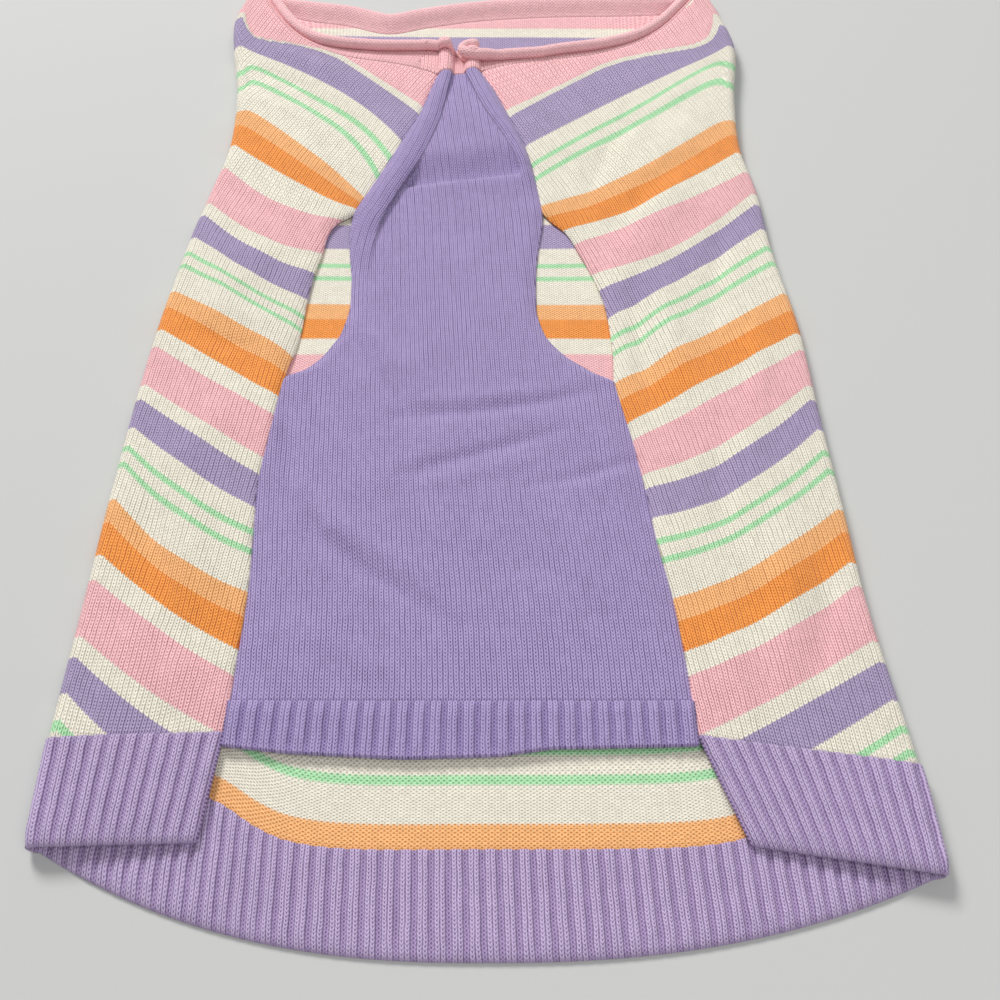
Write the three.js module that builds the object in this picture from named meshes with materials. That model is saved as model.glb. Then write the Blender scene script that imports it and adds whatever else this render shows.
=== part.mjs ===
// A dog sweater laid flat on its back with the belly side up, in millimetres.
// +Z is up, the floor is z = 0, the hem is towards -Y and the neck towards +Y.
// The tables measure x and y from the middle of the belly panel's length, and
// the group is set so that its origin is under the centre of the whole sweater.
// The striped body is one cloth that runs from the left front edge round the
// left fold, flat along the floor, round the right fold and back to the right
// front edge. The belly panel closes the front between two leg holes.
import * as THREE from 'three';

// Cloth
const CLOTH = 1.6;            // thickness of the knit
const SEAM = 0.3;             // clearance between two pieces that are sewn
const RIB_PITCH = 5.45;       // two raised columns and one sunk column
const RIB_RISE = 0.9;
const RIB_CLOTH = 1.4;        // thickness of the plain ground under the ribs
const BELLY_RIBS = 28;

// Lay, heights of the upper face over the floor
const SEAM_HEIGHT = 4.3;      // at the side seams
const CHEST_HEIGHT = 6.6;     // at the seams beside the neck
const FOLD_HEIGHT = 7.4;      // over the side folds
const COLLAR_HEIGHT = 11;     // over the side folds at the neck
const FOLD_REACH = 42;        // how far in from a fold the cloth stays raised
const MIDDLE_HEIGHT = 3.9;    // belly panel in the hollow between the chest bands
const BAND_RISE = 0.6;        // of the chest bands over the front beside them

// Heights up the garment between which each form fades in
const COLLAR_FROM = [110, 235];
const CHEST_FROM = [50, 130];
const HOLLOW_FROM = [78, 104];
const LEFT_BAND_FROM = [15, 70];
const RIGHT_BAND_FROM = [70, 105];

// A chest band ends over this width, outside and inside its inner line
const BAND_OUT = 1.2;
const BAND_IN = 1.4;

// Crease across the bottom of the hollow
const CREASE = { y: 90, width: 4, rise: 0.7 };

// From the centre of the whole sweater to the tables' zero
const CENTRE = { x: 0.15, y: 5.3 };

// Grid
const WING_STEPS = 8;
const FOLD_STEPS = 6;
const FLOOR_STEPS = 14;
const BAND_STEPS = 4;
const MIDDLE_STEPS = 8;

// Outline of the body, left and right fold at each height up the garment
const OUTLINE = [
  { y: -240, left: -147.2, right: 148.2 },
  { y: -220, left: -147.6, right: 147.8 },
  { y: -196, left: -148.2, right: 145.8 },
  { y: -145, left: -147.6, right: 140.7 },
  { y: -100, left: -147.2, right: 139.3 },
  { y: -51, left: -146.2, right: 137.6 },
  { y: -6, left: -144.1, right: 136.6 },
  { y: 44, left: -139.4, right: 131.3 },
  { y: 84, left: -133.8, right: 129.6 },
  { y: 116, left: -129.4, right: 125.6 },
  { y: 158, left: -131.2, right: 127.8 },
  { y: 196, left: -138.0, right: 132.6 },
  { y: 222, left: -140.6, right: 128.6 },
  { y: 250, left: -134.5, right: 121.5 },
];

// Front edges from the hem boundary to the neck, a row for each section.
// wing is the edge of the striped body and belly the edge of the belly panel.
// They part at the leg holes and meet in a seam above and below them.
const LEFT_EDGE = [
  { y: -193, wing: -89.0, belly: -89.0 },
  { y: -165, wing: -88.6, belly: -88.6 },
  { y: -138, wing: -88.2, belly: -88.2 },
  { y: -112, wing: -89.4, belly: -89.4 },
  { y: -88, wing: -90.4, belly: -90.4 },
  { y: -66, wing: -88.8, belly: -88.8 },
  { y: -48, wing: -87.4, belly: -87.4 },
  { y: -34, wing: -86.0, belly: -86.0 },
  { y: -27, wing: -85.2, belly: -77.6 },
  { y: -17, wing: -83.0, belly: -69.2 },
  { y: -4, wing: -81.6, belly: -63.0 },
  { y: 10, wing: -81.0, belly: -60.8 },
  { y: 26, wing: -79.6, belly: -61.4 },
  { y: 42, wing: -77.0, belly: -63.4 },
  { y: 55, wing: -75.2, belly: -64.4 },
  { y: 63, wing: -71.6, belly: -64.2 },
  { y: 70, wing: -62.8, belly: -62.8 },
  { y: 84, wing: -57.0, belly: -57.0 },
  { y: 102, wing: -49.8, belly: -49.8 },
  { y: 120, wing: -42.8, belly: -42.8 },
  { y: 139, wing: -35.8, belly: -35.8 },
  { y: 158, wing: -31.0, belly: -31.0 },
  { y: 174, wing: -27.0, belly: -27.0 },
];
const RIGHT_EDGE = [
  { y: -194, wing: 73.8, belly: 73.8 },
  { y: -166, wing: 72.4, belly: 72.4 },
  { y: -140, wing: 70.0, belly: 70.0 },
  { y: -114, wing: 66.0, belly: 66.0 },
  { y: -90, wing: 63.4, belly: 63.4 },
  { y: -68, wing: 60.2, belly: 60.2 },
  { y: -50, wing: 56.6, belly: 56.6 },
  { y: -36, wing: 54.2, belly: 54.2 },
  { y: -29, wing: 54.4, belly: 44.4 },
  { y: -19, wing: 54.8, belly: 32.6 },
  { y: -6, wing: 54.2, belly: 24.4 },
  { y: 9, wing: 52.8, belly: 21.4 },
  { y: 26, wing: 48.8, belly: 21.6 },
  { y: 42, wing: 43.0, belly: 22.8 },
  { y: 56, wing: 37.4, belly: 24.6 },
  { y: 65, wing: 29.8, belly: 25.6 },
  { y: 72, wing: 25.6, belly: 25.6 },
  { y: 86, wing: 23.6, belly: 23.6 },
  { y: 104, wing: 20.6, belly: 20.6 },
  { y: 122, wing: 16.0, belly: 16.0 },
  { y: 141, wing: 9.4, belly: 9.4 },
  { y: 160, wing: 2.8, belly: 2.8 },
  { y: 177, wing: -4.9, belly: -4.9 },
];

// Inner lines of the two raised bands that run down the chest from the neck
const LEFT_BAND = [
  { y: -200, x: -76 },
  { y: -20, x: -60 },
  { y: 20, x: -55 },
  { y: 56, x: -51.4 },
  { y: 79, x: -44.0 },
  { y: 108, x: -32.0 },
  { y: 136, x: -24.4 },
  { y: 172, x: -19.6 },
];
const RIGHT_BAND = [
  { y: -200, x: 64 },
  { y: -50, x: 48 },
  { y: -29, x: 36 },
  { y: -19, x: 26 },
  { y: -6, x: 19 },
  { y: 9, x: 16.4 },
  { y: 26, x: 16.8 },
  { y: 60, x: 20 },
  { y: 98, x: 15.6 },
  { y: 125, x: 6.2 },
  { y: 140, x: -0.8 },
  { y: 174, x: -12.2 },
];

// Rise of the front neckline from the chest seam (0) out to the fold (1)
const NECK_CURVE = [
  { across: 0, rise: 0 },
  { across: 0.12, rise: 0.085 },
  { across: 0.25, rise: 0.14 },
  { across: 0.5, rise: 0.22 },
  { across: 0.7, rise: 0.37 },
  { across: 0.83, rise: 0.56 },
  { across: 0.93, rise: 0.8 },
  { across: 1, rise: 1 },
];
// Neckline of the back, from the left fold to the right fold
const BACK_NECK = [
  { x: -129, y: 247 },
  { x: -118, y: 238 },
  { x: -103, y: 231 },
  { x: -80, y: 226 },
  { x: -56, y: 218 },
  { x: -34, y: 224 },
  { x: -8, y: 230 },
  { x: 30, y: 234 },
  { x: 90, y: 236 },
  { x: 106, y: 239 },
  { x: 117, y: 244 },
];

// Where the body meets its hem band, and where that band ends
const HEM_TOP = {
  left: { edge: -89.0, edgeY: -193, foldY: -196 },
  right: { edge: 73.8, edgeY: -194, foldY: -205 },
  centreY: -232,
};
const HEM_LOW = {
  left: { edge: -92.4, edgeY: -230, foldY: -232 },
  right: { edge: 87.0, edgeY: -231, foldY: -240.5 },
  centreY: -265.6,
};
const HEM_SWEEP = 2.4;        // power of the curve that the hem takes round the back
const BELLY_HEM_TOP = -181;
const BELLY_HEM_LOW = [
  { x: -90, y: -197 },
  { x: -66, y: -199.6 },
  { x: -27, y: -201.6 },
  { x: 6, y: -200.6 },
  { x: 24, y: -198 },
  { x: 74, y: -197 },
];

// Soft waves of the laid cloth: place, direction of the ridge in degrees from
// +X, half length, half width and rise
const WAVES = [
  { x: -112, y: 128, turn: -50, length: 42, width: 12, rise: 1.6 },
  { x: -104, y: 40, turn: 70, length: 40, width: 10, rise: 1.5 },
  { x: -112, y: -60, turn: 60, length: 46, width: 12, rise: 1.3 },
  { x: -118, y: -150, turn: 80, length: 40, width: 11, rise: 1.2 },
  { x: 92, y: 120, turn: 55, length: 42, width: 12, rise: 1.6 },
  { x: 78, y: 62, turn: 62, length: 36, width: 10, rise: 2.2 },
  { x: 88, y: -30, turn: -70, length: 44, width: 11, rise: 1.4 },
  { x: 112, y: -110, turn: -75, length: 46, width: 13, rise: 1.4 },
  { x: -30, y: -20, turn: 35, length: 40, width: 9, rise: 0.8 },
  { x: -20, y: -70, turn: 30, length: 46, width: 10, rise: 0.7 },
  { x: 28, y: -140, turn: 80, length: 40, width: 12, rise: 0.7 },
];

// Rolled edge of the neck band: distance from the neckline to its centre
const ROLL_RADIUS = 3.75;
const CORNER_RADIUS = 3.0;    // the roll is pressed thinner in the folds
const CORNER_TUCK = 1.0;      // and lies nearer to the inside there
const ROLL_POINTS = 10;
const FRONT_ROLL = [
  { across: 0, out: 20 },
  { across: 0.12, out: 15 },
  { across: 0.25, out: 10 },
  { across: 0.5, out: 7.5 },
  { across: 0.75, out: 6 },
  { across: 1, out: 5 },
];
const BACK_ROLL_OUT = 10;
const CORNER_EASE = 30;       // length over which the roll moves out along the back
const DIP_CENTRE = -16;       // the band tucks in at the centre of the chest
const DIP_HALF = 6;
const DIP_BACK = 7;
const DIP_RADIUS = 1.8;       // how much thinner the roll is there
const DIP_LIFT = 1.1;         // keeps it clear of the cloth below

const CORNER_FROM = 0.45;     // share of the wing where the roll starts to thin
const CHEST_SHARE = 0.12;     // share of the wing that counts as the chest

// Height over the floor between which the hem's ribs come up at a fold
const RIB_FROM = [0.4, 2.4];

const { lerp, smoothstep, degToRad } = THREE.MathUtils;

// Look-up between the rows of a table, by a named column, on straight lines
function lookUp(table, from, to, at) {
  if (at <= table[0][from]) return table[0][to];
  for (let i = 1; i < table.length; i++) {
    const a = table[i - 1];
    const b = table[i];
    if (at <= b[from]) {
      return THREE.MathUtils.mapLinear(at, a[from], b[from], a[to], b[to]);
    }
  }
  return table[table.length - 1][to];
}

// The same on a curve, with each row's slope taken from the rows beside it
function curveUp(table, from, to, at) {
  const last = table.length - 1;
  if (at <= table[0][from]) return table[0][to];
  if (at >= table[last][from]) return table[last][to];
  const slope = (i) => {
    const a = table[Math.max(i - 1, 0)];
    const b = table[Math.min(i + 1, last)];
    return (b[to] - a[to]) / (b[from] - a[from]);
  };
  const i = table.findIndex((row) => row[from] > at) - 1;
  const span = table[i + 1][from] - table[i][from];
  const u = (at - table[i][from]) / span;
  return table[i][to] * (2 * u ** 3 - 3 * u ** 2 + 1)
    + slope(i) * span * (u ** 3 - 2 * u ** 2 + u)
    + table[i + 1][to] * (3 * u ** 2 - 2 * u ** 3)
    + slope(i + 1) * span * (u ** 3 - u ** 2);
}

function foldHeight(y) {
  return lerp(FOLD_HEIGHT, COLLAR_HEIGHT, smoothstep(y, ...COLLAR_FROM));
}

function waves(x, y) {
  let sum = 0;
  for (const wave of WAVES) {
    const turn = degToRad(wave.turn);
    const along = (x - wave.x) * Math.cos(turn) + (y - wave.y) * Math.sin(turn);
    const beside = (y - wave.y) * Math.cos(turn) - (x - wave.x) * Math.sin(turn);
    sum += wave.rise * Math.exp(-((along / wave.length) ** 2) - (beside / wave.width) ** 2);
  }
  return sum;
}

// Height of the upper face of the front, away from the chest bands
function frontHeight(x, y) {
  const seam = lerp(SEAM_HEIGHT, CHEST_HEIGHT, smoothstep(y, ...CHEST_FROM));
  const crest = foldHeight(y);
  const fromLeft = x - curveUp(OUTLINE, 'y', 'left', y) - crest / 2;
  const fromRight = curveUp(OUTLINE, 'y', 'right', y) - crest / 2 - x;
  const near = Math.max(0, Math.min(fromLeft, fromRight));
  return seam + (crest - seam) * Math.exp(-((near / FOLD_REACH) ** 2)) + waves(x, y);
}

// Closed mesh from its points and faces
function solidGeometry(positions, faces) {
  const geometry = new THREE.BufferGeometry();
  geometry.setAttribute('position', new THREE.Float32BufferAttribute(positions, 3));
  geometry.setIndex(faces);
  geometry.computeVertexNormals();
  return geometry;
}

// Closed wall from a grid of outer points and a grid of inner points
function wallGeometry(outer, inner) {
  const rows = outer.length;
  const columns = outer[0].length;
  const positions = [];
  const faces = [];
  for (const grid of [outer, inner]) {
    for (const row of grid) {
      for (const point of row) positions.push(point.x, point.y, point.z);
    }
  }
  const index = (side, row, column) => (side * rows + row) * columns + column;
  const quad = (a, b, c, d) => faces.push(a, b, c, a, c, d);
  const last = columns - 1;
  for (let i = 0; i < rows - 1; i++) {
    for (let j = 0; j < last; j++) {
      quad(index(0, i, j), index(0, i, j + 1), index(0, i + 1, j + 1), index(0, i + 1, j));
      quad(index(1, i, j), index(1, i + 1, j), index(1, i + 1, j + 1), index(1, i, j + 1));
    }
  }
  for (let j = 0; j < last; j++) {
    quad(index(1, 0, j), index(1, 0, j + 1), index(0, 0, j + 1), index(0, 0, j));
    quad(index(0, rows - 1, j), index(0, rows - 1, j + 1),
      index(1, rows - 1, j + 1), index(1, rows - 1, j));
  }
  for (let i = 0; i < rows - 1; i++) {
    quad(index(1, i, 0), index(0, i, 0), index(0, i + 1, 0), index(1, i + 1, 0));
    quad(index(0, i, last), index(1, i, last), index(1, i + 1, last), index(0, i + 1, last));
  }
  return solidGeometry(positions, faces);
}

// One section of the striped body. The edges give x and y of both front edges,
// the folds their y, wingBend adds to y on the wings and floorY gives y on the
// floor. Returns the outer and inner points, from the left edge to the right.
function bodySection({ left, right, wingBend, floorY }) {
  const outer = [];
  const inner = [];
  const side = (edge, mirror) => {
    const radius = foldHeight(edge.foldY) / 2;
    const key = mirror < 0 ? 'left' : 'right';
    const foldX = curveUp(OUTLINE, 'y', key, edge.foldY);
    const points = [];
    for (let i = 0; i < WING_STEPS; i++) {
      const across = i / WING_STEPS;
      const x = lerp(edge.edge, foldX - mirror * radius, across);
      const y = lerp(edge.edgeY, edge.foldY, across) + wingBend(across, edge);
      const z = frontHeight(x, y);
      points.push([new THREE.Vector3(x, y, z), new THREE.Vector3(x, y, z - CLOTH)]);
    }
    const top = frontHeight(foldX - mirror * radius, edge.foldY);
    for (let i = 0; i < FOLD_STEPS; i++) {
      const angle = Math.PI / 2 - (Math.PI * i) / FOLD_STEPS;
      const lift = top / (2 * radius);
      const at = (r) => new THREE.Vector3(
        foldX - mirror * radius + mirror * r * Math.cos(angle),
        edge.foldY,
        radius * lift + r * lift * Math.sin(angle),
      );
      points.push([at(radius), at(radius - CLOTH / lift)]);
    }
    return { points, rim: foldX - mirror * radius };
  };
  const leftSide = side(left, -1);
  const rightSide = side(right, 1);
  for (const [out, inn] of leftSide.points) {
    outer.push(out);
    inner.push(inn);
  }
  for (let i = 0; i <= FLOOR_STEPS; i++) {
    const across = i / FLOOR_STEPS;
    const x = lerp(leftSide.rim, rightSide.rim, across);
    const y = floorY(x, 2 * across - 1);
    outer.push(new THREE.Vector3(x, y, 0));
    inner.push(new THREE.Vector3(x, y, CLOTH));
  }
  for (const [out, inn] of rightSide.points.reverse()) {
    outer.push(out);
    inner.push(inn);
  }
  return { outer, inner };
}

// The hem curve on the floor, lowest at the centre and highest at the folds
function sweep(edge) {
  return (x, across) => {
    const foldY = across < 0 ? edge.left.foldY : edge.right.foldY;
    return lerp(edge.centreY, foldY, Math.abs(across) ** HEM_SWEEP);
  };
}

// Sections of the body from the hem boundary (t = 0) to the neckline (t = 1)
function bodyRows() {
  const count = LEFT_EDGE.length;
  const leftSpan = LEFT_EDGE[count - 1].y - LEFT_EDGE[0].y;
  const bottom = sweep(HEM_TOP);
  const rows = [];
  for (let i = 0; i < count; i++) {
    const t = (LEFT_EDGE[i].y - LEFT_EDGE[0].y) / leftSpan;
    const leftFold = lerp(HEM_TOP.left.foldY, BACK_NECK[0].y, t);
    const rightFold = lerp(HEM_TOP.right.foldY, BACK_NECK[BACK_NECK.length - 1].y, t);
    const spread = t * t;
    rows.push(bodySection({
      left: { edge: LEFT_EDGE[i].wing - SEAM / 2, edgeY: LEFT_EDGE[i].y, foldY: leftFold },
      right: { edge: RIGHT_EDGE[i].wing + SEAM / 2, edgeY: RIGHT_EDGE[i].y, foldY: rightFold },
      wingBend: (across, edge) => spread * (edge.foldY - edge.edgeY)
        * (curveUp(NECK_CURVE, 'across', 'rise', across) - across),
      floorY: (x, across) => lerp(bottom(x, across), curveUp(BACK_NECK, 'x', 'y', x), t),
    }));
  }
  return rows;
}

function backPanel(rows) {
  return wallGeometry(flip(rows.map((row) => row.outer)), flip(rows.map((row) => row.inner)));
}

// The sections run from left to right along the front, then back along the
// floor, so their rows are turned over for faces that point out
function flip(grid) {
  return grid.map((row) => [...row].reverse());
}

// Hem band: the lowest section of the body and the edge of the band, with
// ribs raised on the face that shows, outside on the wings and inside on the back
function hemBand(rows) {
  const top = rows[0];
  const low = bodySection({
    left: HEM_LOW.left,
    right: HEM_LOW.right,
    wingBend: () => 0,
    floorY: sweep(HEM_LOW),
  });
  const lengths = [0];
  for (let j = 1; j < top.outer.length; j++) {
    lengths.push(lengths[j - 1] + top.outer[j].distanceTo(top.outer[j - 1]));
  }
  const total = lengths[lengths.length - 1];
  const ribs = Math.round(total / RIB_PITCH);
  const firstFloor = WING_STEPS + FOLD_STEPS;
  const outer = [[], [], []];
  const inner = [[], [], []];
  for (let k = 0; k <= ribs * 3; k++) {
    const at = (total * k) / (ribs * 3);
    let j = 1;
    while (j < lengths.length - 1 && lengths[j] < at) j++;
    const part = (at - lengths[j - 1]) / (lengths[j] - lengths[j - 1]);
    const rise = k % 3 === 0 ? 0 : RIB_RISE;
    const onFloor = j > firstFloor && j <= firstFloor + FLOOR_STEPS;
    const mix = (grid) => grid[j - 1].clone().lerp(grid[j], part);
    for (let row = 0; row < 3; row++) {
      const down = row / 2;
      const out = mix(top.outer).lerp(mix(low.outer), down);
      const inn = mix(top.inner).lerp(mix(low.inner), down);
      const normal = out.clone().sub(inn).normalize();
      out.y -= SEAM * (1 - down);
      inn.y = out.y;
      if (onFloor) {
        inn.copy(out).addScaledVector(normal, -RIB_CLOTH - rise);
      } else {
        inn.copy(out).addScaledVector(normal, -RIB_CLOTH);
        out.addScaledVector(normal, rise * smoothstep(out.z, ...RIB_FROM));
      }
      outer[row].push(out);
      inner[row].push(inn);
    }
  }
  return wallGeometry(outer, inner);
}

// Belly panel
function bandLevel(x, y) {
  const leftLine = lookUp(LEFT_BAND, 'y', 'x', y);
  const rightLine = lookUp(RIGHT_BAND, 'y', 'x', y);
  const leftBand = smoothstep(y, ...LEFT_BAND_FROM)
    * (1 - smoothstep(x, leftLine - BAND_OUT, leftLine + BAND_IN));
  const rightBand = smoothstep(y, ...RIGHT_BAND_FROM)
    * smoothstep(x, rightLine - BAND_IN, rightLine + BAND_OUT);
  return Math.max(leftBand, rightBand);
}

function bellyHeight(x, y) {
  const plain = frontHeight(x, y);
  const hollow = smoothstep(y, ...HOLLOW_FROM);
  const crease = CREASE.rise * Math.exp(-(((y - CREASE.y) / CREASE.width) ** 2));
  const middle = lerp(plain, MIDDLE_HEIGHT, hollow) + crease;
  const band = bandLevel(x, y);
  const rounded = plain + BAND_RISE * band;
  return lerp(middle, rounded, band);
}

function bellyRow(leftPoint, rightPoint) {
  const y = (leftPoint.y + rightPoint.y) / 2;
  const stops = [
    { x: leftPoint.x, steps: BAND_STEPS },
    { x: lookUp(LEFT_BAND, 'y', 'x', y), steps: MIDDLE_STEPS },
    { x: lookUp(RIGHT_BAND, 'y', 'x', y), steps: BAND_STEPS },
    { x: rightPoint.x, steps: 1 },
  ];
  const points = [];
  for (let k = 0; k < stops.length - 1; k++) {
    for (let i = 0; i < stops[k].steps; i++) {
      points.push(lerp(stops[k].x, stops[k + 1].x, i / stops[k].steps));
    }
  }
  points.push(rightPoint.x);
  return points.map((x) => {
    const across = (x - leftPoint.x) / (rightPoint.x - leftPoint.x);
    const at = lerp(leftPoint.y, rightPoint.y, across);
    return new THREE.Vector3(x, at, 0);
  });
}

function bellyRows() {
  const rows = [];
  for (let i = 0; i < LEFT_EDGE.length; i++) {
    const left = { x: LEFT_EDGE[i].belly + SEAM / 2, y: LEFT_EDGE[i].y };
    const right = { x: RIGHT_EDGE[i].belly - SEAM / 2, y: RIGHT_EDGE[i].y };
    if (i === 0) {
      left.x = lookUp(LEFT_EDGE, 'y', 'belly', BELLY_HEM_TOP) + SEAM / 2;
      right.x = lookUp(RIGHT_EDGE, 'y', 'belly', BELLY_HEM_TOP) - SEAM / 2;
      left.y = BELLY_HEM_TOP;
      right.y = BELLY_HEM_TOP;
    }
    const outer = bellyRow(left, right);
    for (const point of outer) point.z = bellyHeight(point.x, point.y);
    const inner = outer.map((point) => new THREE.Vector3(point.x, point.y, point.z - CLOTH));
    rows.push({ outer, inner });
  }
  return rows;
}

function bellyPanel(rows) {
  return wallGeometry(rows.map((row) => row.outer), rows.map((row) => row.inner));
}

function bellyHem() {
  const left = lookUp(LEFT_EDGE, 'y', 'belly', BELLY_HEM_TOP) + SEAM / 2;
  const right = lookUp(RIGHT_EDGE, 'y', 'belly', BELLY_HEM_TOP) - SEAM / 2;
  const outer = [[], [], []];
  const inner = [[], [], []];
  for (let k = 0; k <= BELLY_RIBS * 3; k++) {
    const x = lerp(left, right, k / (BELLY_RIBS * 3));
    const rise = k % 3 === 0 ? 0 : RIB_RISE;
    for (let row = 0; row < 3; row++) {
      const low = lookUp(BELLY_HEM_LOW, 'x', 'y', x);
      const y = lerp(low, BELLY_HEM_TOP - SEAM, row / 2);
      const z = frontHeight(x, BELLY_HEM_TOP);
      outer[row].push(new THREE.Vector3(x, y, z + rise));
      inner[row].push(new THREE.Vector3(x, y, z - RIB_CLOTH));
    }
  }
  return wallGeometry(outer, inner);
}

// Neck band: a strip sewn to the neckline with its edge rolled outward
function neckBand(body, belly) {
  const top = body[body.length - 1];
  const chest = belly[belly.length - 1];
  const stations = [];
  const wing = (j) => Math.min(j, top.outer.length - 1 - j) / WING_STEPS;
  top.outer.forEach((out, j) => {
    stations.push({ out, inn: top.inner[j], across: wing(j), floor: out.z === 0 });
  });
  for (let j = chest.outer.length - 2; j > 0; j--) {
    stations.push({ out: chest.outer[j], inn: chest.inner[j], across: 0, floor: false });
  }
  const count = stations.length;
  const middle = stations.map(({ out, inn }) => out.clone().add(inn).multiplyScalar(0.5));
  const outer = Array.from({ length: ROLL_POINTS + 2 }, () => []);
  stations.forEach((station, k) => {
    const before = middle[(k + count - 1) % count];
    const after = middle[(k + 1) % count];
    const tangent = after.clone().sub(before).normalize();
    const normal = station.out.clone().sub(station.inn).normalize();
    const along = normal.clone().cross(tangent).normalize();
    if (along.y < 0) along.negate();
    let out = lookUp(FRONT_ROLL, 'across', 'out', station.across);
    const corner = smoothstep(station.across, CORNER_FROM, 1);
    let radius = lerp(ROLL_RADIUS, CORNER_RADIUS, corner);
    let tuck = CORNER_TUCK * corner;
    if (station.floor) {
      const fromFold = Math.min(middle[k].x - middle[WING_STEPS].x,
        middle[top.outer.length - 1 - WING_STEPS].x - middle[k].x);
      const back = smoothstep(fromFold, 0, CORNER_EASE);
      out = lerp(FRONT_ROLL[FRONT_ROLL.length - 1].out, BACK_ROLL_OUT, back);
      radius = lerp(CORNER_RADIUS, ROLL_RADIUS, back);
      tuck = radius - CLOTH / 2;
    } else if (station.across >= 1) {
      const under = (1 - normal.z) / 2;
      tuck = lerp(CORNER_TUCK, CORNER_RADIUS - CLOTH / 2, under);
    }
    const dip = Math.exp(-(((middle[k].x - DIP_CENTRE) / DIP_HALF) ** 2));
    if (!station.floor && station.across < CHEST_SHARE) {
      along.set(0, 1, 0);
      out -= DIP_BACK * dip;
      radius -= DIP_RADIUS * dip;
      tuck = -DIP_LIFT * dip;
    }
    const centre = middle[k].clone().addScaledVector(along, out).addScaledVector(normal, -tuck);
    const reach = centre.clone().sub(middle[k]);
    const length = reach.length();
    reach.normalize();
    const up = normal.clone().addScaledVector(reach, -normal.dot(reach)).normalize();
    const half = CLOTH / 2;
    const open = Math.asin(half / radius);
    const place = (a, n) => middle[k].clone().addScaledVector(reach, a).addScaledVector(up, n);
    const root = (n) => middle[k].clone().addScaledVector(along, SEAM).addScaledVector(normal, n);
    outer[0].push(root(-half));
    for (let i = 0; i < ROLL_POINTS; i++) {
      const angle = lerp(-Math.PI + open, Math.PI - open, i / (ROLL_POINTS - 1));
      outer[i + 1].push(place(length + radius * Math.cos(angle), radius * Math.sin(angle)));
    }
    outer[ROLL_POINTS + 1].push(root(half));
  });
  return ringGeometry(outer);
}

// A closed ring from its long lines, each line closing on itself
function ringGeometry(lines) {
  const count = lines[0].length;
  const positions = [];
  const faces = [];
  for (const line of lines) {
    for (const point of line) positions.push(point.x, point.y, point.z);
  }
  for (let i = 0; i < lines.length; i++) {
    const next = (i + 1) % lines.length;
    for (let k = 0; k < count; k++) {
      const after = (k + 1) % count;
      const a = i * count + k;
      const b = i * count + after;
      const c = next * count + after;
      const d = next * count + k;
      faces.push(a, b, c, a, c, d);
    }
  }
  return solidGeometry(positions, faces);
}

const lilac = new THREE.MeshStandardMaterial({ color: 0x9f88c0, roughness: 0.95, metalness: 0 });
const cream = new THREE.MeshStandardMaterial({ color: 0xe9e4d4, roughness: 0.95, metalness: 0 });
const pink = new THREE.MeshStandardMaterial({ color: 0xe8aeb4, roughness: 0.95, metalness: 0 });

const sweater = new THREE.Group();
sweater.position.set(CENTRE.x, CENTRE.y, 0);
function add(name, geometry, material) {
  const mesh = new THREE.Mesh(geometry, material);
  mesh.name = name;
  sweater.add(mesh);
}

const body = bodyRows();
const belly = bellyRows();
add('back_panel', backPanel(body), cream);
add('hem_band', hemBand(body), lilac);
add('belly_panel', bellyPanel(belly), lilac);
add('belly_hem', bellyHem(), lilac);
add('neck_band', neckBand(body, belly), pink);

export default sweater;
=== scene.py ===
"""A knitted dog sweater laid flat with its belly side up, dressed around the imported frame.

The tables are in millimetres, measured from the middle of the belly panel's length, as the
pattern is. build_mesh puts their points in the frame, in metres. The striped body is one cloth
from the left front edge round the left fold, along the floor and round the right fold to the
right front edge. Every cloth is a thin shell between an outer and an inner grid of points.
"""

import math

import bpy
import numpy as np
from bpy.props import FloatProperty, FloatVectorProperty, PointerProperty
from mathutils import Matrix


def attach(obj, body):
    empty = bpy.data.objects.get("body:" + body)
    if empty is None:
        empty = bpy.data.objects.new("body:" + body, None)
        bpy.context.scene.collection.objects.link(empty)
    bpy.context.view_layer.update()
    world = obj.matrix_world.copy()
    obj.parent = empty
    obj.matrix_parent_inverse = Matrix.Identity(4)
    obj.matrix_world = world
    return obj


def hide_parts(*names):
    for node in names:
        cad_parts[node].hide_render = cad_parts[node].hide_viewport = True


bl_info = {
    "name": "Knitted dog sweater",
    "version": (1, 0, 0),
    "blender": (4, 5, 0),
    "location": "3D View > Sidebar > Sweater",
    "description": "Builds a striped, ribbed dog sweater laid flat on its back",
    "category": "Add Mesh",
}

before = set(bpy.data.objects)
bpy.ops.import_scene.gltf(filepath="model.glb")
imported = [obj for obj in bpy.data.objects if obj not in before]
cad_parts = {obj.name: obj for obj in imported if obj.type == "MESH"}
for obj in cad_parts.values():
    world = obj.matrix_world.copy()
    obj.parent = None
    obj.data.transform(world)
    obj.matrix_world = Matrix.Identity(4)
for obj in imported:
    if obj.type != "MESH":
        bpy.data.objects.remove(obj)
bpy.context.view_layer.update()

MM = 0.001
TURN = 2 * math.pi
CENTRE = (0.15, 5.3)          # from the middle of the whole sweater to the tables' zero

# Cloth
CLOTH = 1.6
RIB_CLOTH = 1.4
RIB_PITCH = 5.45              # two raised columns of stitches and one sunk column
RIB_SHOW = 1.25               # rise of a rib from the sunk column to the raised ones
BELLY_RIBS = 28

# Points of the grids
BODY_ROWS = 210
WING_STEPS = 40
FOLD_STEPS = 12
FLOOR_STEPS = 84
BELLY_ROWS = 250
BELLY_COLUMNS = 130
RIB_COLUMNS = 12              # to one rib
# Rows of a hem band from its plain edge (1) to its beaded one (0), where they crowd
HEM_ROWS = np.array([*np.linspace(1, 0.14, 14), 0.1, 0.07, 0.045, 0.025, 0.01, 0])

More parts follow.
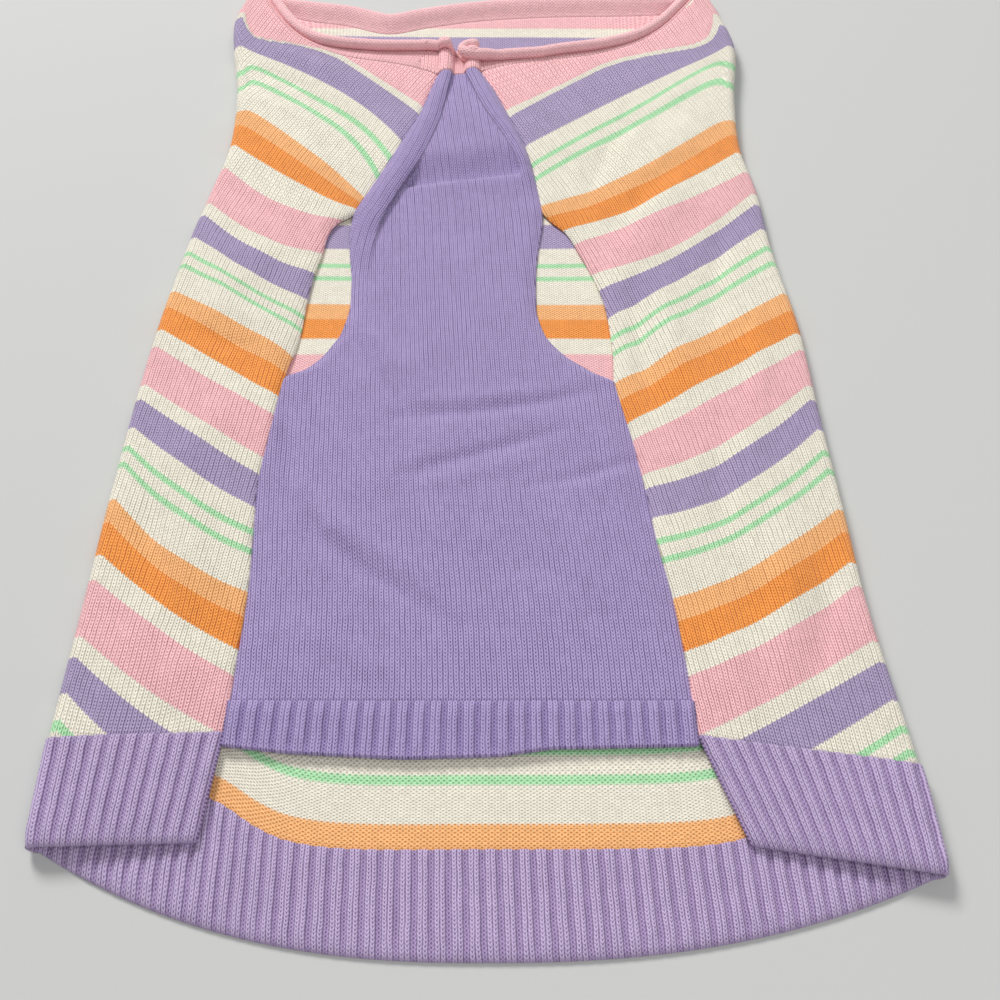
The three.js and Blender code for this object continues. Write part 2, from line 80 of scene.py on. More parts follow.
# Edges: depth and width of the bell by which the cloth sinks
SEAM_DIP = (0.7, 1.5)         # where two pieces are sewn
HOLE_DIP = (1.3, 3.0)         # at the leg holes' free edges
HOLE_EASE = 8                 # length over which a leg hole's dip starts
SIDE_DIP = (0.9, 8.0)         # at the belly's sides, beside the striped body
SIDE_EASE = (-110, -55)       # y where that ends
INNER_DIP = 0.6               # share of a dip that the inner face follows
EDGE_BULGE = 0.35             # how far a cut edge rounds out, in thicknesses

# Heights of the upper face over the floor
SEAM_HEIGHT = 4.3
CHEST_HEIGHT = 6.6
FOLD_HEIGHT = 7.4
COLLAR_HEIGHT = 11.0
FOLD_REACH = 42.0
COLLAR_EASE = (110, 235)      # y where the folds start to rise to the collar, and end
CHEST_EASE = (50, 130)        # the same from the seams' height to the chest's

# Left and right fold at each height up the garment: y, left, right
OUTLINE = np.array([
    (-240, -147.2, 148.2), (-220, -147.6, 147.8), (-196, -148.2, 145.8), (-145, -147.6, 140.7),
    (-100, -147.2, 139.3), (-51, -146.2, 137.6), (-6, -144.1, 136.6), (44, -139.4, 131.3),
    (84, -133.8, 129.6), (116, -129.4, 125.6), (158, -131.2, 127.8), (196, -138, 132.6),
    (222, -140.6, 128.6), (250, -134.5, 121.5),
])

# Front edges from the hem boundary to the neck: y, edge of the body, edge of the belly panel
LEFT_EDGE = np.array([
    (-193, -89, -89), (-165, -88.6, -88.6), (-138, -88.2, -88.2), (-112, -89.4, -89.4),
    (-88, -90.4, -90.4), (-66, -88.8, -88.8), (-48, -87.4, -87.4), (-34, -86, -86),
    (-27, -85.2, -77.6), (-17, -83, -69.2), (-4, -81.6, -63), (10, -81, -60.8),
    (26, -79.6, -61.4), (42, -77, -63.4), (55, -75.2, -64.4), (63, -71.6, -64.2),
    (70, -62.8, -62.8), (84, -57, -57), (102, -49.8, -49.8), (120, -42.8, -42.8),
    (139, -35.8, -35.8), (158, -31, -31), (174, -27, -27),
])
RIGHT_EDGE = np.array([
    (-194, 73.8, 73.8), (-166, 72.4, 72.4), (-140, 70, 70), (-114, 66, 66), (-90, 63.4, 63.4),
    (-68, 60.2, 60.2), (-50, 56.6, 56.6), (-36, 54.2, 54.2), (-29, 54.4, 44.4), (-19, 54.8, 32.6),
    (-6, 54.2, 24.4), (9, 52.8, 21.4), (26, 48.8, 21.6), (42, 43, 22.8), (56, 37.4, 24.6),
    (65, 29.8, 25.6), (72, 25.6, 25.6), (86, 23.6, 23.6), (104, 20.6, 20.6), (122, 16, 16),
    (141, 9.4, 9.4), (160, 2.8, 2.8), (177, -4.9, -4.9),
])
LEFT_HOLE = (-34, 70)         # the leg holes' lower and upper ends
RIGHT_HOLE = (-36, 72)

# Inner lines of the two raised bands that run down the chest: y, x
LEFT_BAND = np.array([
    (-200, -76), (-20, -60), (20, -55), (56, -51.4), (79, -44.0), (108, -32.0),
    (136, -24.4), (172, -19.6),
])
RIGHT_BAND = np.array([
    (-200, 64), (-50, 48), (-29, 36), (-19, 26), (-6, 19), (9, 16.4), (26, 16.8),
    (60, 20), (98, 15.6), (125, 6.2), (140, -0.8), (174, -12.2),
])

# Rise of the front neckline from the chest seam (0) out to the fold (1)
NECK_CURVE = np.array([
    (0, 0), (0.12, 0.085), (0.25, 0.14), (0.5, 0.22), (0.7, 0.37), (0.83, 0.56),
    (0.93, 0.8), (1, 1),
])
# Neckline of the back: x, y
BACK_NECK = np.array([
    (-129, 247), (-118, 238), (-103, 231), (-80, 226), (-56, 218), (-34, 224),
    (-8, 230), (30, 234), (90, 236), (106, 239), (117, 244),
])

# Where the body meets its hem band and where that band ends
HEM_TOP = {"left": (-89.0, -193, -196), "right": (73.8, -194, -205), "centre": -232}
HEM_LOW = {"left": (-92.4, -230, -232), "right": (87.0, -231, -240.5), "centre": -265.6}
HEM_SWEEP = 2.4               # power of the hem's curve on the floor
# How far the body's seam with its hem has risen to the fold's height, across the floor
HEM_RISE = np.array([
    (-1, 1), (-0.85, 0.82), (-0.72, 0.62), (-0.6, 0.42), (-0.52, 0.22), (-0.44, 0.08),
    (-0.3, 0.005), (0, 0), (0.3, 0.005), (0.5, 0.04), (0.62, 0.16), (0.8, 0.52), (1, 1),
])
BELLY_HEM_TOP = -181
BELLY_HEM_LOW = np.array([
    (-90, -197), (-66, -199.6), (-27, -201.6), (6, -200.6), (24, -198), (74, -197),
])

# Soft waves of the laid cloth: x, y, direction in degrees, half length, half width, rise
WAVES = (
    (-112, 128, -50, 42, 12, 1.6), (-104, 40, 70, 40, 10, 1.5), (-112, -60, 60, 46, 12, 1.3),
    (-118, -150, 80, 40, 11, 1.2), (92, 120, 55, 42, 12, 1.6), (78, 62, 62, 36, 10, 2.2),
    (88, -30, -70, 44, 11, 1.4), (112, -110, -75, 46, 13, 1.4), (-30, -20, 35, 40, 9, 0.8),
    (-20, -70, 30, 46, 10, 0.7), (28, -140, 80, 40, 12, 0.7),
)

# Creases and troughs of the laid cloth: points along each, half width, share of CREASE_RISE
CREASE_RISE = 1.6
CREASE_ENDS = (0.12, 0.88)    # part of a half sine that a crease rises by
CREASES = (
    (((-82, -62), (-76, -92), (-64, -112), (-49, -126), (-31, -138), (-8, -152)), 4.0, -1.1),
    (((-84, -76), (-70, -100), (-58, -108), (-42, -118), (-22, -130)), 6.0, 0.9),
    (((-62, -8), (-49, -29), (-37, -48), (-31, -70)), 4.5, -0.8),
    (((-54, -2), (-40, -24), (-26, -44)), 5.0, 0.6),
    (((-38, -54), (-7, -52), (22, -47), (50, -39)), 3.2, -0.8),
    (((-34, -46), (-4, -44), (26, -40)), 3.6, 0.5),
    (((-34, -84), (-14, -77), (6, -70), (32, -61)), 3.0, -0.8),
    (((-26, -90), (0, -82), (26, -74)), 3.4, 0.4),
    (((20, -89), (41, -84), (62, -75)), 3.0, -0.7),
    (((-70, -150), (-52, -160), (-30, -172)), 5.0, 0.5),
    (((8, -120), (28, -132), (44, -150)), 5.0, -0.4),
    (((46, -34), (58, -66), (63, -100)), 4.0, -0.8),
    (((-79, -4), (-73, -26), (-62, -62), (-46, -92)), 11.0, -1.3),
    (((-84, -36), (-83, -62), (-79, -84)), 4.0, -0.8),
    (((-128, 176), (-99, 164), (-76, 142), (-54, 114)), 5.0, -0.9),
    (((-122, 196), (-92, 182), (-64, 158)), 6.0, 0.8),
    (((-124, 152), (-98, 142), (-78, 122)), 5.0, 0.8),
    (((-134, -84), (-127, -115), (-118, -137), (-108, -160)), 5.0, -1.3),
    (((-122, -80), (-114, -108), (-104, -134)), 6.5, 1.1),
    (((-128, -8), (-106, -18), (-93, -46)), 4.5, -1.0),
    (((-118, 8), (-100, -2), (-88, -24)), 5.0, 0.8),
    (((-122, 84), (-104, 66), (-94, 40)), 5.0, -0.8),
    (((-132, 60), (-122, 34), (-118, 8)), 5.0, 0.8),
    (((-112, -160), (-106, -178), (-102, -190)), 5.0, 0.8),
    (((65, 16), (66, -13), (70, -48)), 4.5, -1.2),
    (((78, 24), (80, -8), (84, -40)), 6.0, 1.0),
    (((88, 150), (62, 118), (46, 76)), 5.0, -0.9),
    (((108, 168), (80, 142), (62, 106)), 6.0, 0.9),
    (((106, 110), (82, 92), (62, 62)), 5.0, -0.8),
    (((112, 62), (104, 30), (100, 0)), 5.0, -0.9),
    (((120, 0), (114, -36), (110, -70)), 5.0, 0.8),
    (((96, -60), (92, -88), (94, -116)), 5.0, -0.9),
    (((127, -120), (125, -146), (118, -170)), 5.0, -1.2),
    (((112, -118), (110, -144), (106, -172)), 6.0, 0.9),
    (((84, -130), (88, -156), (92, -184)), 5.0, 0.7),
)

# Rolled edge of the neck band
ROLL_RADIUS = 3.5
ROLL_LIFT = 2.0               # of the roll's centre over the strip at the front
CORNER_RADIUS = 3.3
CORNER_TUCK = 1.0
FRONT_ROLL = np.array([
    (0, 17), (0.12, 12.5), (0.25, 8), (0.5, 6), (0.75, 5.2), (1, 5),
])
BACK_ROLL_OUT = 10.0
CORNER_EASE = 30.0
CORNER_START = 0.45           # share of the wing where the roll starts to turn the corner
CHEST_END = 0.12              # share of the wing up to which the band belongs to the chest
DIP_CENTRE = -17.2            # the tuck at the chest: where, its half width, what the roll's
DIP_HALF = 3.8                # radius loses, and its centre's height over the strip
DIP_RADIUS = 1.6
DIP_LIFT = -0.8
# Centre line of the front roll near the chest: x and y, and how firmly it is held there
ROLL_LINE = np.array([
    (-95, 209, 0), (-62, 199.2, 0.7), (-44, 197.6, 1), (-34, 198.2, 1), (-26, 197.2, 1),
    (-21, 195.6, 1), (-17.5, 195.4, 1), (-13.5, 189, 1), (-6, 188.2, 1), (6, 188.9, 1),
    (28, 190.6, 0.8), (60, 199, 0),
])

# Stripes, downwards from the neck, in courses of one repeat: first course, colour
REPEAT = 82
STRIPES = (
    (0, "pink"), (16, "cream"), (22, "lavender"), (33, "cream"), (40, "mint"), (42, "cream"),
    (46, "mint"), (48, "cream"), (59, "peach"), (66, "orange"), (75, "cream"),
)
# Heights on the garment of counted courses along seven lines: y at each course of
# LINE_COURSES, then course and y further down
LINE_COURSES = (0, 16, 22, 33, 40, 48, 59, 75, 82, 98, 104, 140, 163, 186, 222, 245)
STRIPE_LINES = {
    "left_fold": (
        (250, 224, 219.5, 193.4, 174, 156.5, 139.5, 114.5, 97, 71.8, 63.1, 15, -18, -48.7, -97.3,
         -133.3),
        ((268, -166.3), (285, -188.3), (291, -200), (304, -214)),
    ),
    "left_middle": (
        (240, 190.6, 187.6, 165.3, 153.8, 137.4, 112.5, 89.6, 74.2, 50.6, 41.3, -1.2, -36, -67.3,
         -121.5, -153.3),
        ((268, -186.7),),
    ),
    "left_edge": (
        (200, 146.4, 140.3, 118.5, 107.5, 90.4, 78.2, 71.1, 64.6, 41.8, 28.9, -20, -52.7, -84.6,
         -136.5, -170.4),
        ((260, -191.2),),
    ),
    "right_fold": (
        (248, 222.2, 212.2, 193.9, 179.6, 158.4, 133.5, 108.9, 94.2, 78.8, 70.8, 13.6, -20, -48.8,
         -102, -136),
        ((268, -168.3), (285, -190.6), (291, -199)),
    ),
    "right_middle": (
        (228, 184.1, 181.1, 155.7, 143.7, 128.3, 97.9, 77.4, 68.1, 45.8, 40.1, -10, -44, -76.3,
         -125.2, -155.6),
        ((268, -185),),
    ),
    "right_edge": (
        (200, 143.6, 138.2, 114.8, 102.6, 89.9, 73.3, 57.9, 48.2, 28.4, 18.3, -35.5, -65.5, -90.8,
         -139.3, -170.5),
        ((260, -191.4),),
    ),
    "back": (
        (),
        ((0, 248), (14, 226), (22, 215), (58, 143), (82, 100.5), (104, 63.3), (140, 12.5),
         (164, -18), (186, -49), (222, -100), (246, -137), (268, -170.5), (285, -195),
         (292, -207), (294, -210.4), (305, -223.5)),
    ),
}
# The neck band draws the top stripes down beside the folds: by course, and across the wing
COLLAR_PULL = np.array([
    (0, -17), (16, -17), (22, -11.5), (33, -1), (41, 7), (50, 6.5), (62, 2), (75, 0),
])
COLLAR_ACROSS = np.array([
    (0.5, 0), (0.6, 0.15), (0.7, 0.42), (0.8, 0.75), (0.88, 1), (0.94, 0.95), (0.98, 0.45), (1, 0),
])
MIDDLE_LINE = 0.52            # where the middle line runs, from the front edge to the fold
COURSE_HEIGHT = 1.4
WALE_WIDTH = 2.0
BELLY_COURSE = 1.48
BELLY_WALE = 1.9
BACK_BEND = (-205, -150)      # y on the floor where the stripes leave the hem seam's bend
BACK_BEND_END = 0.75          # and the share of the way to the fold where they do
STRIPE_STEPS = (-60.0, 400.0)  # courses counted, past both ends of the cloth

# Chest bands of the belly panel: rise, share lost at the neck and where, part of the half sine
BAND_RISE = 4.0
BAND_LOSS = 0.3
BAND_NECK = (148, 174)
BAND_ARC = (0.1, 0.72)
BAND_EDGE = (-1.0, 0.6)       # from the inner line, where the cloth rises into the band
LEFT_START = (15, 70)         # y where a band starts to rise, and where it has risen
RIGHT_START = (70, 105)
# Where the columns of stitches turn to follow a band: its inner line, y from and to, side
BAND_TURNS = ((LEFT_BAND, 15, 75, -1), (RIGHT_BAND, 70, 105, 1))
# The hollow between the bands: height and lean of its lower edge, rise and width of the crease
# there, the length of the drop above it, and the height and half width of its floor
HOLLOW_EDGE = (91.2, 0.16)
HOLLOW_CREASE = (1.2, 8.0)
HOLLOW_DROP = 4.5
HOLLOW_FLOOR = 3.3
HOLLOW_CENTRE = -2.0
HOLLOW_HALF = 24.0
HOLLOW_REFILL = (5.2, 3, 25)  # rise of the floor, and its start and end above the lower edge
HOLLOW_NECK = (2.6, 138, 174)  # fall towards the neck, from y to y

# Lean of the columns of stitches, sideways for each step up: y, lean
LEFT_LEAN = np.array([
    (-240, 0.06), (-130, 0.1), (-20, 0.14), (40, 0.22), (70, 0.36), (110, 0.45), (260, 0.48),
])
RIGHT_LEAN = np.array([
    (-240, -0.12), (-150, -0.16), (-90, -0.22), (-20, -0.25), (30, -0.32), (70, -0.42),
    (110, -0.46), (260, -0.48),
])
BELLY_LEAN = np.array([
    (-240, 0), (-180, -0.03), (-120, -0.1), (-60, -0.06), (60, -0.06), (90, -0.13), (190, -0.1),
])
LEAN_AT_FOLD = 0.65           # share of the lean that is left at the fold
LEAN_ZERO = -60               # y where leaned columns stand at their own number
FOLD_CENTRES = (-147.0, 140.0)

# Camera over the lower edge, from the photograph's framing
CAMERA_PLACE = (0.00585, -0.3337, 0.360)
CAMERA_DOWN = 55.7
CAMERA_LENS = 39.6
SENSOR = 36.0


def smoothstep(x, low, high):
    """Zero below low, one above high and a smooth S between them."""
    t = np.clip((np.asarray(x, float) - low) / (high - low), 0, 1)
    return t * t * (3 - 2 * t)


def plateau(x, low, high, ease):
    """One between low and high and zero outside, with an S of length ease inside each end."""
    return smoothstep(x, low, low + ease) * (1 - smoothstep(x, high - ease, high))


def bell(distance, width, power=2):
    """One at zero, falling as e to the minus power of the distance over the width."""
    return np.exp(-((distance / width) ** power))


def running(steps):
    """Steps added up, from zero."""
    return np.concatenate(([0], np.cumsum(steps)))


def path_length(line):
    """Length along a line of points, from zero at the first."""
    return running(np.linalg.norm(np.diff(line, axis=0), axis=1))


def lerp(a, b, t):
    """The point t of the way from a to b."""
    return a + (b - a) * t


def curve_up(table, at, column=1):
    """Cubic Hermite curve through a table, each slope taken over the rows on both sides."""
    x, y = table[:, 0], table[:, column]
    near = np.arange(len(x))
    low, high = np.maximum(near - 1, 0), np.minimum(near + 1, len(x) - 1)
    slope = (y[high] - y[low]) / (x[high] - x[low])
    return hermite(x, y, slope, at)


def curve_tight(x, y, at):
    """Cubic Hermite curve that never overshoots: slopes are harmonic means of the steps'."""
    step = np.diff(y) / np.diff(x)
    product = step[1:] * step[:-1]
    total = step[1:] + step[:-1]
    inside = np.where(product > 0, 2 * product / np.where(total == 0, 1, total), 0)
    slope = np.concatenate(([step[0]], inside, [step[-1]]))
    return hermite(x, y, slope, at)


def hermite(x, y, slope, at):
    """Cubic between neighbouring rows with the given slopes, held flat beyond the ends."""
    at = np.clip(np.asarray(at, float), x[0], x[-1])
    i = np.clip(np.searchsorted(x, at, side="right") - 1, 0, len(x) - 2)
    span = x[i + 1] - x[i]
    u = (at - x[i]) / span
    return (
        y[i] * (2 * u ** 3 - 3 * u ** 2 + 1)
        + slope[i] * span * (u ** 3 - 2 * u ** 2 + u)
        + y[i + 1] * (3 * u ** 2 - 2 * u ** 3)
        + slope[i + 1] * span * (u ** 3 - u ** 2)
    )


def look_up(table, at, column=1):
    """Straight lines through a table."""
    return np.interp(at, table[:, 0], table[:, column])


def integral(table, at, zero):
    """Area under a table's line from the value zero to each value of at."""
    fine = np.linspace(table[0, 0], table[-1, 0], 400)
    line = look_up(table, fine)
    total = running((line[1:] + line[:-1]) / 2 * np.diff(fine))
    return np.interp(at, fine, total) - np.interp(zero, fine, total)


def unit(vectors):
    """The same vectors, one long."""
    return vectors / np.maximum(np.linalg.norm(vectors, axis=-1, keepdims=True), 1e-9)


def points(x, y, z):
    """Arrays of coordinates stacked to points."""
    x, y, z = np.broadcast_arrays(x, y, z)
    return np.stack((x, y, z), axis=-1).astype(float)


# Lay of the cloth

def fold_height(y):
    """Height over the side folds, rising in an S towards the neck."""
    return lerp(FOLD_HEIGHT, COLLAR_HEIGHT, smoothstep(y, *COLLAR_EASE))


def ridges(x, y):
    """Sum of the soft waves: each falls as a bell along its direction and across it."""
    total = np.zeros(np.broadcast(x, y).shape)
    for centre_x, centre_y, turn, length, width, rise in WAVES:
        c, s = math.cos(math.radians(turn)), math.sin(math.radians(turn))
        along = (x - centre_x) * c + (y - centre_y) * s
        beside = (y - centre_y) * c - (x - centre_x) * s
        total = total + rise * np.exp(-((along / length) ** 2) - (beside / width) ** 2)
    return total


def crease_heights(x, y):
    """Sum of the creases: a bell of the distance to each path, eased off at its two ends."""
    total = np.zeros(np.broadcast(x, y).shape)
    for path, width, rise in CREASES:
        spots = np.array(path, float)
        starts = path_length(spots)
        nearest = np.full(total.shape, np.inf)
        place = np.zeros(total.shape)
        for (x0, y0), (x1, y1), start, step in zip(spots, spots[1:], starts, np.diff(starts)):
            share = ((x - x0) * (x1 - x0) + (y - y0) * (y1 - y0)) / step ** 2
            share = np.clip(share, 0, 1)
            away = np.hypot(x - lerp(x0, x1, share), y - lerp(y0, y1, share))
            closer = away < nearest
            nearest = np.where(closer, away, nearest)
            place = np.where(closer, (start + share * step) / starts[-1], place)
        ease = np.sin(math.pi * lerp(*CREASE_ENDS, place))
        total = total + CREASE_RISE * rise * ease * bell(nearest, width)
    return total


def front_height(x, y):
    """Upper face of the front: seam height, a bell towards each fold's crest, and the waves."""
    seam = lerp(SEAM_HEIGHT, CHEST_HEIGHT, smoothstep(y, *CHEST_EASE))
    crest = fold_height(y)
    from_left = x - curve_up(OUTLINE, y, 1) - crest / 2
    from_right = curve_up(OUTLINE, y, 2) - crest / 2 - x
    near = np.maximum(0, np.minimum(from_left, from_right))
    return seam + (crest - seam) * bell(near, FOLD_REACH) + ridges(x, y) + crease_heights(x, y)


def side_points(edge_x, edge_y, fold_y, spread, mirror, across, angles, inner):
    """One wing and its fold. The wing runs from the front edge to the fold's crest, bent to
    the neckline by spread; the fold is a half circle from the crest down to the floor."""
    column = 1 if mirror < 0 else 2
    radius = fold_height(fold_y) / 2
    fold_x = curve_up(OUTLINE, fold_y, column)
    rim = fold_x - mirror * radius
    bend = spread * (fold_y - edge_y) * (curve_up(NECK_CURVE, across) - across)
    x = lerp(edge_x, rim, across)
    y = lerp(edge_y, fold_y, across) + bend
    top = front_height(x, y)
    wing = points(x, y, top - (CLOTH if inner else 0))
    crest = front_height(rim, fold_y)
    lift = crest / (2 * radius)
    reach = radius - (CLOTH / lift if inner else 0)
    fold = points(
        rim + mirror * reach * np.cos(angles),
        fold_y,
        radius * lift + reach * lift * np.sin(angles),
    )
    return wing, fold, rim


def hem_sweep(edge, across):
    """Curve of the hem on the floor, lowest at the centre: the seam by its table of rises, the
    lower edge by a power of the way across."""
    fold_y = np.where(across < 0, edge["left"][2], edge["right"][2])
    rise = curve_up(HEM_RISE, across) if edge is HEM_TOP else np.abs(across) ** HEM_SWEEP
    return lerp(edge["centre"], fold_y, rise)


def body_grid(t, hem=None):
    """The body's outer and inner points for each share t of the way from hem to neck, or those
    of the hem's lower edge.

    Columns run along the left wing, its fold, the floor, the right fold and the right wing.
    Also returns each column's share of the wing, its turn from the left fold (-1) to the right
    one (1), and whether it lies on the floor."""
    t = np.asarray(t, float)[:, None]
    rows = (LEFT_EDGE[:, 0] - LEFT_EDGE[0, 0]) / (LEFT_EDGE[-1, 0] - LEFT_EDGE[0, 0])
    sides = []
    for key, table, neck, mirror in (
        ("left", LEFT_EDGE, BACK_NECK[0, 1], -1), ("right", RIGHT_EDGE, BACK_NECK[-1, 1], 1),
    ):
        if hem is None:
            edge_y = curve_tight(rows, table[:, 0], t)
            edge_x = curve_tight(table[:, 0], table[:, 1], edge_y)
            fold_y = lerp(HEM_TOP[key][2], neck, t)
            spread = t * t
        else:
            edge_x, edge_y, fold_y = (np.full_like(t, value) for value in hem[key])
            spread = np.zeros_like(t)
        sides.append((edge_x, edge_y, fold_y, spread, mirror))
    across = (np.arange(WING_STEPS) / WING_STEPS)[None]
    angles = (math.pi / 2 - math.pi * np.arange(FOLD_STEPS) / FOLD_STEPS)[None]
    floor_share = np.linspace(0, 1, FLOOR_STEPS + 1)[None]
    way = 2 * floor_share - 1
    grids = []
    for inner in (False, True):
        (left_wing, left_fold, left_rim), (right_wing, right_fold, right_rim) = (
            side_points(*side, across, angles, inner) for side in sides
        )
        x = lerp(left_rim, right_rim, floor_share)
        y = hem_sweep(HEM_TOP if hem is None else hem, way)
        if hem is None:
            y = lerp(y, curve_up(BACK_NECK, x), t)
        floor = points(x, y, CLOTH if inner else 0)
        turned = np.concatenate((right_wing, right_fold), axis=1)[:, ::-1]
        grids.append(np.concatenate((left_wing, left_fold, floor, turned), axis=1))
    wing = np.concatenate((across[0], np.ones(FOLD_STEPS)))
    share = np.concatenate((wing, np.ones(FLOOR_STEPS + 1), wing[::-1]))
    turn = np.concatenate((-np.ones(len(wing)), way[0], np.ones(len(wing))))
    on_floor = np.zeros(len(share), bool)
    on_floor[len(wing):-len(wing)] = True
    return *grids, share, turn, on_floor


def stripe_line(name, course):
    """Height of each course along one counted line, one course's height apart past its ends."""
    heights, lower = STRIPE_LINES[name]
    table = np.array([*zip(LINE_COURSES, heights), *lower])
    inside = curve_tight(table[:, 0], table[:, 1], course)
    above = np.minimum(course - table[0, 0], 0)
    below = np.maximum(course - table[-1, 0], 0)
    return inside - COURSE_HEIGHT * (above + below)


def stripe_heights(course, share, turn, on_floor):
    """Height on the garment of each course in one column.

    On a wing it is a parabola through the edge, middle and fold lines, and the pull of the
    collar. On the floor it is a power blend from the back line to the fold's, and near the hem
    it follows the bend of the hem's seam."""
    side = "left" if turn < 0 else "right"
    fold = stripe_line(side + "_fold", course)
    if on_floor:
        back = stripe_line("back", course)
        seam_like = 1 - smoothstep(back, *BACK_BEND)
        seam_like = seam_like * (1 - smoothstep(abs(turn), BACK_BEND_END, 1))
        swept = lerp(back, fold, abs(turn) ** HEM_SWEEP)
        bent = back + curve_up(HEM_RISE, turn) * (HEM_TOP[side][2] - HEM_TOP["centre"])
        return lerp(swept, bent, seam_like)
    edge, middle = (stripe_line(side + part, course) for part in ("_edge", "_middle"))
    m = MIDDLE_LINE
    return (
        look_up(COLLAR_PULL, course) * look_up(COLLAR_ACROSS, share)
        + edge * (share - m) * (share - 1) / m
        + middle * share * (share - 1) / (m * (m - 1))
        + fold * share * (share - m) / (1 - m)
    )


def stripe_courses(grid, share, turn, on_floor):
    """Course number at each point of the body, found column by column from the heights."""
    course = np.arange(*STRIPE_STEPS)
    found = np.empty(grid.shape[:2])
    for j in range(grid.shape[1]):
        height = stripe_heights(course, share[j], turn[j], on_floor[j])
        found[:, j] = np.interp(grid[:, j, 1], height[::-1], course[::-1])
    return found


def body_wales(grid, share, turn, on_floor):
    """Number of the column of stitches at each point. On a wing it is the distance mirrored
    about the fold, leaned by the integral of the lean. Round a fold it follows the length of
    the arc. On the floor the columns crowd by a cube towards the fold to meet that."""
    x, y = grid[..., 0], grid[..., 1]
    steps = np.linalg.norm(np.diff(grid, axis=1), axis=2)
    round_way = np.pad(np.cumsum(steps, axis=1), ((0, 0), (1, 0)))
    in_fold = (share >= 1) & ~on_floor
    columns = np.empty_like(x)
    for sign, lean, centre, crest, rim in (
        (-1, LEFT_LEAN, FOLD_CENTRES[0], WING_STEPS, WING_STEPS + FOLD_STEPS),
        (1, RIGHT_LEAN, FOLD_CENTRES[1], -1 - WING_STEPS, -1 - WING_STEPS - FOLD_STEPS),
    ):
        mine = np.where(turn < 0, -1, 1) == sign
        wing = 2 * centre - x + integral(lean, y, LEAN_ZERO) * lerp(1, LEAN_AT_FOLD, share)
        fold = wing[:, [crest]] + round_way - round_way[:, [crest]]
        floor = x + (fold[:, [rim]] - x[:, [rim]]) * np.abs(turn) ** 3
        found = np.where(on_floor, floor, np.where(in_fold, fold, wing))
        columns[:, mine] = found[:, mine]
    return columns / WALE_WIDTH


# Belly panel

def belly_height(x, y):
    """Height of the panel. Each chest band is the front's height under part of a half sine,
    fading downwards. Between them the panel drops by an S above a crease, a bell across its
    lower edge, and its floor rises again by an S and falls a little towards the neck."""
    plain = front_height(x, y)
    above = y - (HOLLOW_EDGE[0] + HOLLOW_EDGE[1] * x)
    crease = HOLLOW_CREASE[0] * bell(above, HOLLOW_CREASE[1])
    crease = crease * bell(x - HOLLOW_CENTRE, HOLLOW_HALF, 4)
    refill = HOLLOW_REFILL[0] * smoothstep(above, *HOLLOW_REFILL[1:])
    refill = refill - HOLLOW_NECK[0] * smoothstep(y, *HOLLOW_NECK[1:])
    middle = lerp(plain + crease, HOLLOW_FLOOR + refill, smoothstep(above, 0, HOLLOW_DROP))
    band_rise = BAND_RISE * (1 - BAND_LOSS * smoothstep(y, *BAND_NECK))
    rises = []
    on_bands = []
    for edge, line, start, side in (
        (LEFT_EDGE, LEFT_BAND, LEFT_START, -1), (RIGHT_EDGE, RIGHT_BAND, RIGHT_START, 1),
    ):
        seam = curve_tight(edge[:, 0], edge[:, 2], y)
        inner = curve_tight(line[:, 0], line[:, 1], y)
        fade = smoothstep(y, *start)
        share = (x - seam) / (inner - seam)
        arc = np.clip(BAND_ARC[0] + BAND_ARC[1] * share, 0, 1)
        on_bands.append(fade * smoothstep(side * (x - inner), *BAND_EDGE))
        rises.append(band_rise * fade * np.sin(math.pi * arc))
    rounded = plain + np.where(on_bands[0] > on_bands[1], *rises)
    return lerp(middle, rounded, np.maximum(*on_bands))


def belly_wales(x, y):
    """Column of stitches: leaned by the integral of the lean, and following the inner line on
    the raised chest bands."""
    wales = x - integral(BELLY_LEAN, y, LEAN_ZERO)
    for band, low, high, side in BAND_TURNS:
        line = curve_tight(band[:, 0], band[:, 1], y)
        start = curve_tight(band[:, 0], band[:, 1], low)
        followed = x - line + start - integral(BELLY_LEAN, low, LEAN_ZERO)
        turned = lerp(wales, followed, smoothstep(y, low, high))
        wales = np.where(side * (x - line) > 0, turned, wales)
    return wales


def belly_grid(rows, columns):
    """The panel's upper points, from its hem to the neck and from left to right."""
    t = np.linspace(0, 1, rows)[:, None]
    across = np.linspace(0, 1, columns)[None]
    ends = []
    for table in (LEFT_EDGE, RIGHT_EDGE):
        y = lerp(BELLY_HEM_TOP, table[-1, 0], t)
        ends.append((curve_tight(table[:, 0], table[:, 2], y), y))
    (left_x, left_y), (right_x, right_y) = ends
    x = lerp(left_x, right_x, across)
    y = lerp(left_y, right_y, across)
    return points(x, y, belly_height(x, y))


# Meshes

FLIP = [0, 3, 2, 1]


def quads(line, after):
    """Faces between lines of points and the lines after them, by their numbers."""
    corners = (line[:, :-1], line[:, 1:], after[:, 1:], after[:, :-1])
    return np.stack([part.ravel() for part in corners], axis=1)


def border(index):
    """Numbers round a grid's border, and of the points just inside them."""
    inward = index.copy()
    inward[[0, -1]] = index[[1, -2]]
    inward[:, [0, -1]] = index[:, [1, -2]]
    return [
        np.concatenate((grid[0, :-1], grid[:-1, -1], grid[-1, :0:-1], grid[:0:-1, 0]))
        for grid in (index, inward)
    ]


